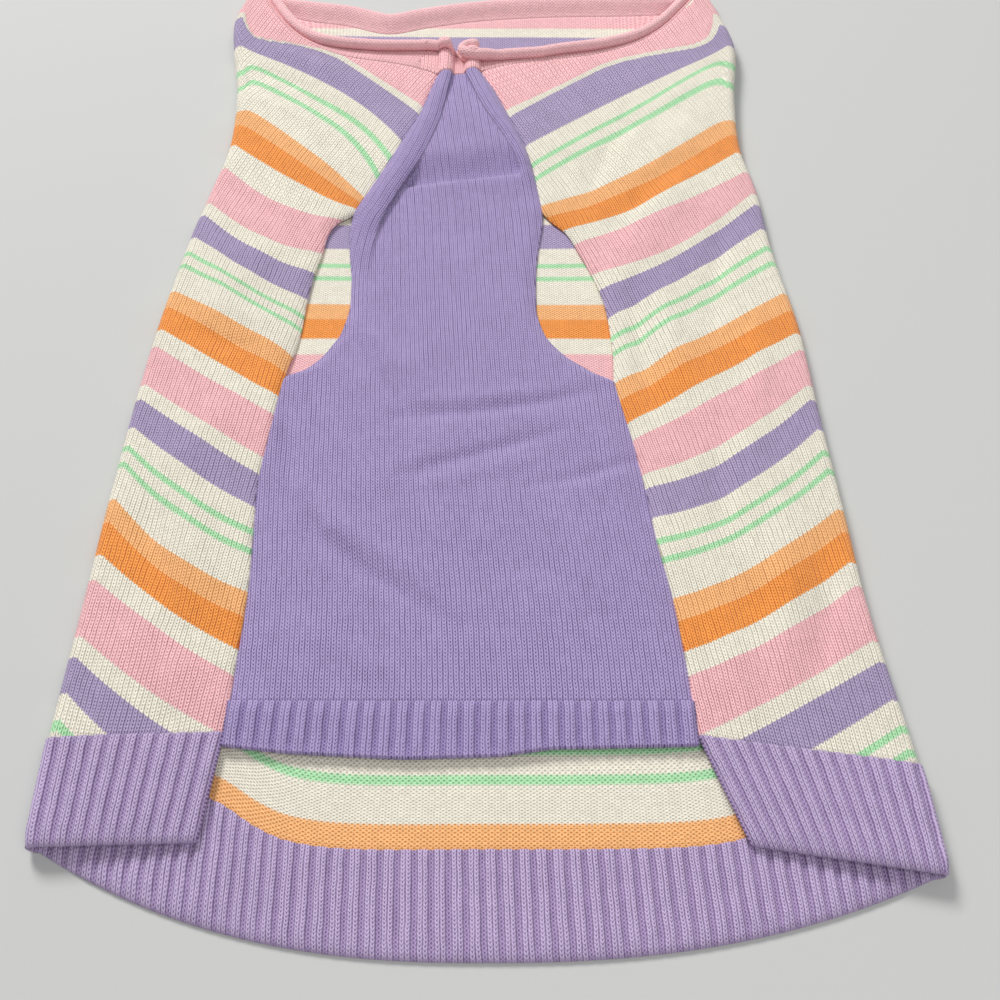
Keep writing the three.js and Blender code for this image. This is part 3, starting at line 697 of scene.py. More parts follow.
def build_mesh(name, vertices, faces, uv, face_material, materials):
    """A smooth mesh from arrays in the tables' millimetres, with one knit map and a material
    for each face."""
    vertices = (vertices + np.array((*CENTRE, 0))) * MM
    mesh = bpy.data.meshes.new(name)
    mesh.vertices.add(len(vertices))
    mesh.vertices.foreach_set("co", np.ascontiguousarray(vertices, np.float32).ravel())
    mesh.loops.add(faces.size)
    mesh.loops.foreach_set("vertex_index", faces.astype(np.int32).ravel())
    mesh.polygons.add(len(faces))
    mesh.polygons.foreach_set("loop_start", np.arange(0, faces.size, 4, dtype=np.int32))
    mesh.polygons.foreach_set("loop_total", np.full(len(faces), 4, np.int32))
    mesh.polygons.foreach_set("material_index", face_material.astype(np.int32))
    mesh.update(calc_edges=True)
    layer = mesh.uv_layers.new(name="Knit")
    layer.data.foreach_set("uv", uv[faces.ravel()].astype(np.float32).ravel())
    mesh.shade_smooth()
    mesh.validate()
    for material in materials:
        mesh.materials.append(material)
    piece = bpy.data.objects.new(name, mesh)
    bpy.context.scene.collection.objects.link(piece)
    return piece


def shell(name, outer, inner, uv, materials):
    """A closed cloth between two grids, its cut edge rounded out by a share of its thickness.

    Counter-clockwise from outside, the outer grid's rows run up and its columns to the right.
    Materials are for the outer face, the inner face and the edge."""
    count = outer[..., 0].size
    grid = np.arange(count).reshape(outer.shape[:2])
    top = quads(grid[:-1], grid[1:])
    ring, inward = border(grid)
    outer, inner, uv = outer.reshape(-1, 3), inner.reshape(-1, 3), uv.reshape(-1, 2)
    away = unit(outer[ring] - outer[inward])
    thickness = np.linalg.norm(outer[ring] - inner[ring], axis=1, keepdims=True)
    middle = (outer[ring] + inner[ring]) / 2 + away * thickness * EDGE_BULGE
    mid = 2 * count + np.arange(len(ring))
    after, mid_after = np.roll(ring, -1), np.roll(mid, -1)
    upper = np.stack((ring, mid, mid_after, after), axis=1)
    lower = np.stack((mid, ring + count, after + count, mid_after), axis=1)
    face_material = np.repeat((0, 1, len(materials) - 1), (len(top), len(top), 2 * len(ring)))
    return build_mesh(
        name, np.concatenate((outer, inner, middle)),
        np.concatenate((top, top[:, FLIP] + count, upper, lower)),
        np.concatenate((uv, uv, uv[ring])), face_material, materials,
    )


def ring_shell(name, outer, inner, uv, materials):
    """A closed cloth between two rings of lines, its two long edges joined across."""
    size = outer[..., 0].size
    grid = np.arange(size).reshape(outer.shape[:2])
    grid = np.concatenate((grid, grid[:, :1]), axis=1)
    outside = quads(grid[:-1], grid[1:])
    low = quads(grid[:1], grid[:1] + size)[:, FLIP]
    high = quads(grid[-1:], grid[-1:] + size)
    count = len(outside)
    return build_mesh(
        name, np.concatenate((outer.reshape(-1, 3), inner.reshape(-1, 3))),
        np.concatenate((outside, outside[:, FLIP] + size, low, high)),
        np.tile(uv.reshape(-1, 2), (2, 1)),
        np.repeat((0, 1, 0), (count, count, len(low) + len(high))), materials,
    )


# Materials

class Value:
    """A number or colour on its way through a material. Sums, differences and products of
    values are maths nodes."""

    def __init__(self, nodes, socket):
        self.nodes = nodes
        self.socket = socket

    def __add__(self, other):
        return self.nodes.maths("ADD", self, other)

    def __sub__(self, other):
        return self.nodes.maths("SUBTRACT", self, other)

    def __rsub__(self, other):
        return self.nodes.maths("SUBTRACT", other, self)

    def __mul__(self, other):
        return self.nodes.maths("MULTIPLY", self, other)


class Nodes:
    """Short calls for one material's nodes, each giving back its value."""

    def __init__(self, name):
        self.material = bpy.data.materials.new(name)
        self.material.use_nodes = True
        self.tree = self.material.node_tree
        self.shader = self.tree.nodes["Principled BSDF"]

    def put(self, socket, value):
        """Links a value to a socket, or sets the socket to a plain number or colour."""
        if isinstance(value, Value):
            self.tree.links.new(value.socket, socket)
        else:
            socket.default_value = value

    def finish(self, **inputs):
        """Fills the shader's sockets, named with an underscore for each space."""
        for name, value in inputs.items():
            self.put(self.shader.inputs[name.replace("_", " ")], value)
        return self.material

    def add(self, kind, inputs=(), output=0, **settings):
        """A node, its inputs filled by number or name."""
        node = self.tree.nodes.new(kind)
        for key, value in settings.items():
            setattr(node, key, value)
        for key, value in dict(inputs).items():
            self.put(node.inputs[key], value)
        return Value(self, node.outputs[output])

    def maths(self, operation, *values):
        return self.add("ShaderNodeMath", enumerate(values), operation=operation)

    def ramp_range(self, value, low, high, to_low=0.0, to_high=1.0):
        """An S from to_low to to_high while the value goes from low to high."""
        values = enumerate((value, low, high, to_low, to_high))
        return self.add("ShaderNodeMapRange", values, interpolation_type="SMOOTHSTEP")

    def mix(self, share, first, second, blend="MIX"):
        values = {0: share, 6: first, 7: second}
        return self.add("ShaderNodeMix", values, 2, data_type="RGBA", blend_type=blend)

    def combine(self, *parts):
        return self.add("ShaderNodeCombineXYZ", enumerate(parts))

    def split(self, vector):
        first = self.add("ShaderNodeSeparateXYZ", {0: vector})
        return [Value(self, socket) for socket in first.socket.node.outputs]

    def noise(self, vector, scale, detail):
        values = {"Vector": vector, "Scale": scale, "Detail": detail}
        return self.add("ShaderNodeTexNoise", values, "Fac", noise_dimensions="3D")


def linear(colour):
    """A colour picked on screen, to the linear light that the shader takes."""
    c = np.array(colour[:3], float)
    low, high = c / 12.92, ((c + 0.055) / 1.055) ** 2.4
    return (*np.where(c <= 0.04045, low, high), 1.0)


def yarn_settings():
    """The colours and sizes in the sidebar."""
    return bpy.context.scene.sweater


def stripe_colours(nodes, course):
    """Colour of each course: its place in the repeat on a stepped ramp."""
    yarn = yarn_settings()
    place = nodes.maths("FLOORED_MODULO", course, float(REPEAT))
    share = nodes.maths("DIVIDE", place + 0.5, float(REPEAT))
    colour = nodes.add("ShaderNodeValToRGB", {0: share})
    ramp = colour.socket.node.color_ramp
    ramp.interpolation = "CONSTANT"
    ramp.elements.remove(ramp.elements[1])
    for start, name in STRIPES:
        element = ramp.elements.new(start / REPEAT) if start else ramp.elements[0]
        element.position = start / REPEAT
        element.color = linear(getattr(yarn, name))
    return colour


# Stitches, measured in columns across and courses up
WANDER = (170.0, 0.35)        # scale and reach of the noise that moves columns sideways
LEG_GROOVE = (0.66, 1.0)      # groove between columns: from here to the column's side (1)
LEG_LINE = (0.0, 0.42, 1.0, 0.0)    # line between the legs, at the column's middle (0)
ARC_BEND = 0.22               # of the purl face's rows
ARC_HOLES = (-1.0, 0.1, 1.0, 0.0)
ARC_TOPS = (0.2, 1.0, 0.0, 0.25)
KNIT_ROUND = 0.55             # relief of the yarn's roundness on the knit and the purl face
PURL_ROUND = 0.3
PATCH_SCALE = 95.0
PATCHES = (0.3, 0.7, 0.7, 1.2)      # middle lines, from loose to firm patches
PULL_STEPS = (3.7, 0.16)      # steps through the noise from groove to groove, and up one
PULLED = (0.3, 0.7, 0.8, 1.2)       # grooves, from shallow to deep ones
PAIRS_FROM = (0.0, 0.06)      # metres up the belly where its columns start to stand in pairs
SUNK = (0.75, 0.5)            # relief of grooves and of middle lines
GROOVE_GAP_SHADE = (0.8, 0.3)             # painted shade laid on by the grooves and by the gaps between courses
TONE = (1.14, 0.3)            # tone of the yarn where no painted shade lies, and what the painted shade takes off it
STITCH_NOISE = (0.1, 0.12)    # tone and relief of single stitches
FIBRE_NOISE = (0.3, 0.35)     # tone and relief of the fibres
FIBRE_SCALE = 2600.0
CLOUD_NOISE = 0.08            # tone of wide patches
CLOUD_SCALE = 55.0
GAP_LEVEL = 0.2               # of a middle line halfway along a stitch
POINTED = 0.45                # share of the straight stripe in the pointed one
VALLEY = (0.27, 0.42, 0.0, 0.5)     # painted shade in the sunk column of a rib, from the rib's middle
VALLEY_ARCS = (0.5, 0.35, 0.85)     # skew, swing and level of the arcs of painted shade in it


def knit_material(name, colour, face="knit", shade=0.9, ribbed=False, paired=0.0):
    """Finish of one face of the cloth.

    On the knit face each column is a chain of Vs: the course is skewed by the distance from
    the column's middle, the yarn's roundness is the square of the place along that skewed
    course, and an S up to the column's side makes the groove between columns. Grooves differ
    by noise, and paired sets every other one deeper by a cosine. The purl face has rows of
    arcs, each a course bent by a cosine, with holes where two cosines differ in sign. The
    height is one less the sum of these, for the bump, and their sum is painted into the
    yarn's colour as shade in the grooves, gaps and holes, as much as shade says. ribbed adds
    painted shade in the sunk columns between ribs. colour is a fixed colour, or the word
    stripes."""
    yarn = yarn_settings()
    nodes = Nodes(name)
    place = nodes.add("ShaderNodeTexCoord", output="Object")
    u, v, _ = nodes.split(nodes.add("ShaderNodeUVMap", uv_map="Knit"))
    u = u + (nodes.noise(place, WANDER[0], 1.0) - 0.5) * WANDER[1]
    beside = nodes.maths("ABSOLUTE", nodes.maths("FRACT", u) * 2.0 - 1.0)
    if face == "knit":
        groove = nodes.maths("ROUND", u)
        skewed = v - beside * yarn.stitch_slope
        pull_place = nodes.combine(groove * PULL_STEPS[0], v * PULL_STEPS[1])
        pull = nodes.noise(pull_place, 1.0, 1.0)
        edge_line = nodes.ramp_range(beside, *LEG_GROOVE) * nodes.ramp_range(pull, *PULLED)
        middle_line = nodes.ramp_range(beside, *LEG_LINE)
        roundness = KNIT_ROUND
    else:
        wave = nodes.maths("COSINE", u * TURN)
        skewed = v + wave * ARC_BEND
        holes = wave * nodes.maths("COSINE", v * TURN)
        edge_line = nodes.ramp_range(holes, *ARC_HOLES)
        middle_line = nodes.ramp_range(holes, *ARC_TOPS)
        roundness = PURL_ROUND
    along = nodes.maths("FRACT", skewed) * 2.0 - 1.0
    gap = along * along
    if paired:
        high = nodes.ramp_range(nodes.split(place)[1], *PAIRS_FROM, 0.0, paired)
        edge_line = edge_line * (nodes.maths("COSINE", groove * math.pi) * high + 1.0)
    firm = nodes.ramp_range(nodes.noise(place, PATCH_SCALE, 2.0), *PATCHES)
    middle_line = middle_line * (gap + GAP_LEVEL) * firm
    height = 1.0 - (edge_line * SUNK[0] + middle_line * SUNK[1] + gap * (roundness / 2))

    course = nodes.maths("FLOOR", skewed)
    stitch = nodes.add(
        "ShaderNodeTexWhiteNoise", {"Vector": nodes.combine(nodes.maths("FLOOR", u), course)},
        noise_dimensions="2D",
    )
    fibre = nodes.noise(place, FIBRE_SCALE, 3.0)
    cloud = nodes.noise(place, CLOUD_SCALE, 3.0)
    if colour == "stripes":
        level = nodes.maths("FLOOR", v - yarn.stitch_slope * 0.5)
        pointed, straight = (stripe_colours(nodes, -1.0 - row) for row in (course, level))
        base = nodes.mix(POINTED, pointed, straight)
    else:
        base = linear(colour)
    # Painted shade: grooves, middle lines and gaps between courses darken the yarn's colour
    painted_shade = edge_line * GROOVE_GAP_SHADE[0] + middle_line + gap * GROOVE_GAP_SHADE[1]
    if ribbed:
        # Painted shade in the sunk column between ribs, broken into arcs
        phase = nodes.maths("FRACT", nodes.maths("DIVIDE", u + 0.5, float(RIB_WALES)))
        valley = nodes.ramp_range(nodes.maths("ABSOLUTE", phase - 0.5), *VALLEY)
        skew, swing, level = VALLEY_ARCS
        arcs = nodes.maths("COSINE", (v + beside * skew) * TURN) * swing + level
        painted_shade = painted_shade + valley * arcs
    # shade scales the painted shade, which pulls the colour towards its own square and lowers its
    # tone
    share = nodes.maths("MINIMUM", painted_shade * shade, 1.0)
    yarn_in_painted_shade = nodes.mix(share, base, nodes.mix(1.0, base, base, "MULTIPLY"))
    tone = TONE[0] - painted_shade * (shade * TONE[1])
    for noise, swing in (
        (stitch, STITCH_NOISE[0]), (cloud, CLOUD_NOISE), (fibre, FIBRE_NOISE[0]),
    ):
        tone = tone + (noise - 0.5) * swing
    shaded = nodes.mix(1.0, yarn_in_painted_shade, nodes.combine(tone, tone, tone), "MULTIPLY")
    lifted = height + fibre * FIBRE_NOISE[1] + stitch * STITCH_NOISE[1]
    bump = nodes.add("ShaderNodeBump", {
        "Strength": yarn.stitch_strength, "Distance": yarn.stitch_depth, "Height": lifted,
    })
    return nodes.finish(
        Base_Color=shaded, Normal=bump, Roughness=0.92, Specular_IOR_Level=0.2,
        Sheen_Weight=0.22, Sheen_Roughness=0.5,
    )


def floor_material():
    """Matt pale paper, with a trace of grain."""
    nodes = Nodes("pale_floor")
    place = nodes.add("ShaderNodeTexCoord", output="Object")
    share = nodes.noise(place, 900.0, 2.0) * 0.3
    colour = nodes.mix(share, linear((0.80, 0.80, 0.79)), linear((0.77, 0.77, 0.76)))
    return nodes.finish(Base_Color=colour, Roughness=0.85, Specular_IOR_Level=0.2)


# Pieces

def dress(piece, node):
    """A finished piece rides on the sweater and stands for its node, which is hidden."""
    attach(piece, "root")
    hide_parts(node)


def knit_map(columns, courses):
    """Column and course numbers as a map, courses counted upwards."""
    return np.stack(np.broadcast_arrays(columns, courses), axis=-1)


def edge_dip(cloth, edge, hole):
    """How far the cloth sinks beside an edge, and the distance from it: a bell at a seam,
    deeper and wider along a leg hole."""
    distance = np.linalg.norm((cloth - edge)[..., :2], axis=-1)
    depth, width = lerp(
        np.array(SEAM_DIP), np.array(HOLE_DIP), plateau(cloth[..., 1:2], *hole, HOLE_EASE),
    ).transpose(2, 0, 1)
    return depth * bell(distance, width), distance


def make_body():
    """The striped body: dense grid over the wings, folds and floor, both edges turned down."""
    outer, inner, share, turn, on_floor = body_grid(np.linspace(0, 1, BODY_ROWS))
    courses = stripe_courses(outer, share, turn, on_floor)
    uv = knit_map(body_wales(outer, share, turn, on_floor), -courses)
    for edge, wing, hole in (
        (0, slice(0, WING_STEPS), LEFT_HOLE), (-1, slice(-WING_STEPS, None), RIGHT_HOLE),
    ):
        dip, _ = edge_dip(outer[:, wing], outer[:, [edge]], hole)
        outer[:, wing, 2] -= dip
        inner[:, wing, 2] -= dip * INNER_DIP
    materials = (
        knit_material("striped_knit", "stripes"),
        knit_material("striped_purl", "stripes", "purl"),
        knit_material("striped_edge", "stripes"),
    )
    piece = shell("striped_body", outer[:, ::-1], inner[:, ::-1], uv[:, ::-1], materials)
    dress(piece, "back_panel")


# Ribs: part of the pitch that a rib stands on and its slopes' width, the line down its middle
RIB_STAND = (0.08, 0.92, 0.22)
RIB_LINE = (0.16, 0.05)
RIB_WALES = 3                 # columns of stitches from one rib to the next
RIB_START = (-1, 5)           # distance from the plain edge where the ribs rise
CAST_OFF = (0.65, 0.55, 2.2)  # share of a rib lost at the beaded edge, the bead, its width
HEM_HEIGHT = 36
BELLY_HEM_HEIGHT = 18
HEM_INSIDE = (2, 6)           # the ribs change faces over this reach and length at a fold
HEM_OFF_FLOOR = (0.4, 2.4)    # height over the floor where ribs outside start, and are whole


def rib_profile(phase):
    """Rise of a rib: two rounded columns with a shallow line between, parted by a sunk one."""
    p = phase - np.floor(phase)
    return plateau(p, *RIB_STAND) * (1 - RIB_LINE[0] * bell(p - 0.5, RIB_LINE[1]))


def rib_rise(share, height, phase):
    """Rise of a ribbed band: its ribs start by an S at the plain edge, and a bell at the
    beaded edge flattens them into a thicker bead."""
    rise = RIB_SHOW * rib_profile(phase)
    lost, bead, width = CAST_OFF
    near = bell(share * height, width)
    started = smoothstep(height - share * height, *RIB_START)
    return rise * (1 - lost * near) * started + bead * near


def make_hem():
    """Hem band of the body: straight lines from the body's lowest section, where the bead
    lies along the seam, to the swept edge. The ribs are raised outside on the wings and
    inside on the back."""
    top_outer, top_inner, *_ = body_grid([0.0])
    low_outer, low_inner, *_ = body_grid([0.0], HEM_LOW)
    length = path_length(top_outer[0])
    ribs = int(round(length[-1] / RIB_PITCH))
    phase = np.linspace(0, ribs, ribs * RIB_COLUMNS + 1)
    at = phase / ribs * length[-1]
    floor = length[[WING_STEPS + FOLD_STEPS, WING_STEPS + FOLD_STEPS + FLOOR_STEPS]]

    def resample(grid):
        return np.stack([np.interp(at, length, grid[0, :, k]) for k in range(3)], axis=-1)[None]

    down = HEM_ROWS[:, None, None]
    outer = lerp(resample(top_outer), resample(low_outer), down)
    inner = lerp(resample(top_inner), resample(low_inner), down)
    normal = unit(outer - inner)
    rise = rib_rise(down, HEM_HEIGHT, phase[None, :, None])
    reach, ease = HEM_INSIDE
    inside = plateau(at, floor[0] - reach, floor[1] + reach, ease)[None, :, None]
    outside = smoothstep(outer[..., 2:], *HEM_OFF_FLOOR)
    inner = outer - normal * (RIB_CLOTH + rise * inside)
    outer = outer + normal * rise * outside * (1 - inside)
    uv = knit_map(phase * RIB_WALES - 0.5, -down[..., 0] * HEM_HEIGHT / COURSE_HEIGHT)
    knit = knit_material("lilac_rib", yarn_settings().rib, ribbed=True)
    piece = shell("hem_ribs", outer[:, ::-1], inner[:, ::-1], uv[:, ::-1], (knit,) * 3)
    dress(piece, "hem_band")


def make_belly():
    """The belly panel: dense grid whose side edges turn down at the seams and leg holes."""
    outer = belly_grid(BELLY_ROWS, BELLY_COLUMNS)
    y = outer[..., 1]
    uv = knit_map(belly_wales(outer[..., 0], y) / BELLY_WALE, y / BELLY_COURSE)
    below = 1 - smoothstep(y, *SIDE_EASE)
    for edge, hole in ((outer[:, :1], LEFT_HOLE), (outer[:, -1:], RIGHT_HOLE)):
        dip, distance = edge_dip(outer, edge, hole)
        outer[..., 2] -= dip + below * SIDE_DIP[0] * bell(distance, SIDE_DIP[1])
    lilac = yarn_settings().lilac
    materials = (
        knit_material("lilac_knit", lilac, paired=0.2),
        knit_material("lilac_purl", lilac, "purl"),
        knit_material("lilac_edge", lilac),
    )
    piece = shell("belly", outer, outer - np.array((0, 0, CLOTH)), uv, materials)
    dress(piece, "belly_panel")


def make_belly_hem():
    """Hem band of the belly panel, its ribs raised on the upper face and its bead along the
    lower edge."""
    left, right = (look_up(edge, BELLY_HEM_TOP, 2) for edge in (LEFT_EDGE, RIGHT_EDGE))
    phase = np.linspace(0, BELLY_RIBS, BELLY_RIBS * RIB_COLUMNS + 1)[None]
    x = lerp(left, right, phase / BELLY_RIBS)
    up = HEM_ROWS[::-1, None]
    y = lerp(look_up(BELLY_HEM_LOW, x), BELLY_HEM_TOP, up)
    ground = front_height(x, BELLY_HEM_TOP)
    outer = points(x, y, ground + rib_rise(up, BELLY_HEM_HEIGHT, phase))
    inner = points(x, y, ground - RIB_CLOTH)
    uv = knit_map(phase * RIB_WALES - 0.5, y / COURSE_HEIGHT)
    knit = knit_material("belly_rib", yarn_settings().lilac, shade=0.75, ribbed=True)
    piece = shell("belly_hem_ribs", outer, inner, uv, (knit,) * 3)
    dress(piece, "belly_hem")


# Neck band

ROLL_POINTS = 40
STRIP_POINTS = 8
RING_POINTS = 640
CURL_TURNS = 1.25
CURL_SHRINK = 1.5             # the roll's radius lost over its first turn
CURL_CORE = 0.4               # its smallest radius, in thicknesses of the cloth
ROLL_SHADE = 0.35             # less painted groove shade on the purl face round the roll, to lighten its side away from the key light


def neck_stations():
    """Points round the neckline: the body's top edge, then the belly panel's from right to
    left, with the share along the wing and whether the point lies on the floor."""
    outer, inner, share, _, on_floor = body_grid([1.0])
    chest = belly_grid(2, 40)[-1][::-1][1:-1]
    out = np.concatenate((outer[0], chest))
    inn = np.concatenate((inner[0], chest - np.array((0, 0, CLOTH))))
    extra = (0, len(chest))
    return out, inn, np.pad(share, extra), np.pad(on_floor, extra)


def make_neck():
    """Neck band: a strip that rises from the neckline and ends in a roll, a keyhole section
    carried round the ring. Reach, radius and tuck of the roll go by S curves from the chest to
    the corner and along the floor, and follow the roll's own line near the chest. A flat
    topped bell of the sixth power makes the tuck there."""
    out, inn, across, floor = neck_stations()
    middle = (out + inn) / 2
    x, y = middle[:, 0], middle[:, 1]
    tangent = unit(np.roll(middle, -1, axis=0) - np.roll(middle, 1, axis=0))
    normal = unit(out - inn)
    along = unit(np.cross(normal, tangent))
    along *= np.where(along[:, 1:2] < 0, -1, 1)
    chest = (across < CHEST_END) & ~floor
    along[chest] = (0, 1, 0)

    corner = smoothstep(across, CORNER_START, 1)
    rims = x[[WING_STEPS, WING_STEPS + 2 * FOLD_STEPS + FLOOR_STEPS]]
    back = smoothstep(np.minimum(x - rims[0], rims[1] - x), 0, CORNER_EASE)
    floor_radius = lerp(CORNER_RADIUS, ROLL_RADIUS, back)
    radius = np.where(floor, floor_radius, lerp(ROLL_RADIUS, CORNER_RADIUS, corner))
    under = (1 - normal[:, 2]) / 2
    tuck = lerp(-ROLL_LIFT, CORNER_TUCK, corner)
    fold_tuck = lerp(CORNER_TUCK, CORNER_RADIUS - CLOTH / 2, under)
    tuck = np.where((across >= 1) & ~floor, fold_tuck, tuck)
    tuck = np.where(floor, floor_radius - CLOTH / 2, tuck)
    reach = look_up(FRONT_ROLL, across)
    reach = np.where(floor, lerp(FRONT_ROLL[-1, 1], BACK_ROLL_OUT, back), reach)
    held = look_up(ROLL_LINE, x, 2) * ~floor
    line_reach = (look_up(ROLL_LINE, x) - y) / np.maximum(along[:, 1], 0.5)
    reach = lerp(reach, line_reach, held)
    dip = bell(x - DIP_CENTRE, DIP_HALF, 6) * chest
    radius = radius - DIP_RADIUS * dip
    tuck = lerp(tuck, -DIP_LIFT, dip)

    way = along * reach[:, None] - normal * tuck[:, None]
    length = np.linalg.norm(way, axis=1)
    way = unit(way)
    up = unit(normal - way * np.sum(normal * way, axis=1, keepdims=True))
    a, n = curl_section(length[None], (radius - CLOTH / 2)[None])
    finish_neck(middle + way * a[..., None] + up * n[..., None])


# The right end of the roll turns back on itself: points of the curl and its radius at each
CURL_PATH = np.array([
    (16, 190.2, 7.6, 1.4), (7, 189.2, 8.4, 2.2), (-1, 188.2, 9.2, 3.0), (-8, 187.4, 9.9, 3.1),
    (-12.6, 188.3, 10.3, 2.9), (-14.4, 190.9, 10.6, 2.6), (-12.4, 193.6, 10.8, 2.7),
    (-8.8, 194.4, 10.8, 3.0), (-5.2, 194.0, 10.6, 3.1),
])
CURL_STEPS = 90
CURL_SIDES = 28
CURL_TIP = 0.02               # share of the radius left at the ends
CURL_GIRTH = 2.4              # radius by which its courses are counted


def make_curl():
    """A tube along the curl's path, its ends rounded by a circle's root over one radius."""
    knots = np.arange(len(CURL_PATH), dtype=float)
    at = np.linspace(0, knots[-1], CURL_STEPS)
    table = np.column_stack((knots, CURL_PATH))
    x, y, z, radius = (curve_up(table, at, k) for k in (1, 2, 3, 4))
    line = points(x, y, z)
    steps = path_length(line)
    from_end = np.minimum(np.minimum(steps, steps[-1] - steps) / radius, 1)
    closing = np.sqrt(np.clip(1 - (1 - from_end) ** 2, 0, 1))
    radius = (radius * np.maximum(closing, CURL_TIP))[:, None]
    tangent = unit(np.gradient(line, axis=0))
    side = unit(np.cross(tangent, (0, 0, 1)))
    up = np.cross(side, tangent)
    angle = np.linspace(0, TURN, CURL_SIDES, endpoint=False)[:, None, None]
    skin = line + radius * (np.cos(angle) * side + np.sin(angle) * up)
    around = np.arange(CURL_SIDES)[:, None] * (TURN * CURL_GIRTH / CURL_SIDES / COURSE_HEIGHT)
    uv = knit_map(steps / WALE_WIDTH, around)
    purl = knit_material("curl_purl", yarn_settings().pink, "purl", ROLL_SHADE)
    grid = np.arange(CURL_SIDES * CURL_STEPS).reshape(CURL_SIDES, CURL_STEPS)
    faces = quads(grid, np.roll(grid, -1, axis=0))
    piece = build_mesh(
        "neck_curl", skin.reshape(-1, 3), faces, uv.reshape(-1, 2), np.zeros(len(faces)), (purl,),
    )
    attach(piece, "root")
    return piece


def curl_section(length, start_radius):
    """Section of the band through its thickness: an S from the root to under the roll, then a
    spiral of a little over one turn whose radius shrinks with the square of the turn."""
    s = np.linspace(0, 1, STRIP_POINTS, endpoint=False)[:, None]
    turn = np.linspace(0, CURL_TURNS, ROLL_POINTS)[:, None]
    angle = -math.pi / 2 + TURN * turn
    radius = np.maximum(start_radius - CURL_SHRINK * turn ** 2, CLOTH * CURL_CORE)
    a = np.concatenate((length * s, length + radius * np.cos(angle)))
    n = np.concatenate((-start_radius * smoothstep(s, 0, 1), radius * np.sin(angle)))
    return a, n


def even_ring(line):
    """The same ring of section lines with its stations spaced evenly round it."""
    steps = np.linalg.norm(np.roll(line, -1, axis=1) - line, axis=2).mean(axis=0)
    length = running(steps)
    at = np.linspace(0, length[-1], RING_POINTS, endpoint=False)
    closed = np.concatenate((line, line[:, :1]), axis=1)
    spot = np.searchsorted(length, at, side="right") - 1
    part = ((at - length[spot]) / steps[spot])[None, :, None]
    return lerp(closed[:, spot], closed[:, spot + 1], part), at


def finish_neck(line):
    """The band's shell round the ring: half the cloth's thickness to both sides of the line."""
    line, at = even_ring(line)
    round_way = unit(np.roll(line, -1, axis=1) - np.roll(line, 1, axis=1))
    side = unit(np.cross(round_way, np.gradient(line, axis=0))) * CLOTH / 2
    girth = np.linalg.norm(np.diff(line, axis=0), axis=2).mean(axis=1)
    uv = knit_map(at / WALE_WIDTH, running(girth)[:, None] / COURSE_HEIGHT)
    pink = yarn_settings().pink
    materials = (
        knit_material("pink_knit", pink),
        knit_material("pink_purl", pink, "purl", ROLL_SHADE),
    )
    piece = ring_shell("neck_roll", line - side, line + side, uv, materials)
    curl = make_curl()
    dress(piece, "neck_band")


# Stage

def soft_light(name, place, size, power):
    """A square soft box that faces the middle of the sweater."""
    data = bpy.data.lights.new(name, "AREA")
    data.size = size
    data.energy = power
    light = bpy.data.objects.new(name, data)
    bpy.context.scene.collection.objects.link(light)
    x, y, z = place
    light.location = place
    light.rotation_euler = (math.atan2(math.hypot(x, y), z), 0, math.atan2(x, -y))


# Half the floor's width, the sky and the soft boxes' place, size and watts
FLOOR_HALF = 3.0
SKY = (0.95, 0.97, 1.0, 1)
SKY_STRENGTH = 0.3
KEY_LIGHT = ((-1.1, 1.9, 1.85), 0.9, 72.0)
FILL_LIGHT = ((0.5, -0.7, 1.4), 1.0, 8.2)


def make_stage():
    """Pale floor, soft light and the camera at the photograph's angle."""
    scene = bpy.context.scene
    mesh = bpy.data.meshes.new("floor")
    corners = [(FLOOR_HALF * x, FLOOR_HALF * y, 0) for x, y in ((-1, -1), (1, -1), (1, 1), (-1, 1))]
    mesh.from_pydata(corners, [], [(0, 1, 2, 3)])
    mesh.materials.append(floor_material())
    floor = bpy.data.objects.new("floor", mesh)
    scene.collection.objects.link(floor)
    world = bpy.data.worlds.new("studio")
    world.use_nodes = True
    background = world.node_tree.nodes["Background"]
    background.inputs[0].default_value = SKY
    background.inputs[1].default_value = SKY_STRENGTH
    scene.world = world
    scene.view_settings.view_transform = "Standard"
    soft_light("key", *KEY_LIGHT)
    soft_light("fill", *FILL_LIGHT)
    data = bpy.data.cameras.new("camera")
    data.lens = CAMERA_LENS
    data.sensor_width = SENSOR
    data.clip_start = 0.01
    camera = bpy.data.objects.new("camera", data)
    scene.collection.objects.link(camera)
    camera.location = CAMERA_PLACE
    camera.rotation_euler = (math.radians(90 - CAMERA_DOWN), 0, 0)
    scene.camera = camera


# Add-on

def colour_property(name, description, colour):
    """A yarn colour as picked on screen."""
    return FloatVectorProperty(
        name=name, description=description, subtype="COLOR_GAMMA", size=3,
        min=0.0, max=1.0, default=colour,
    )


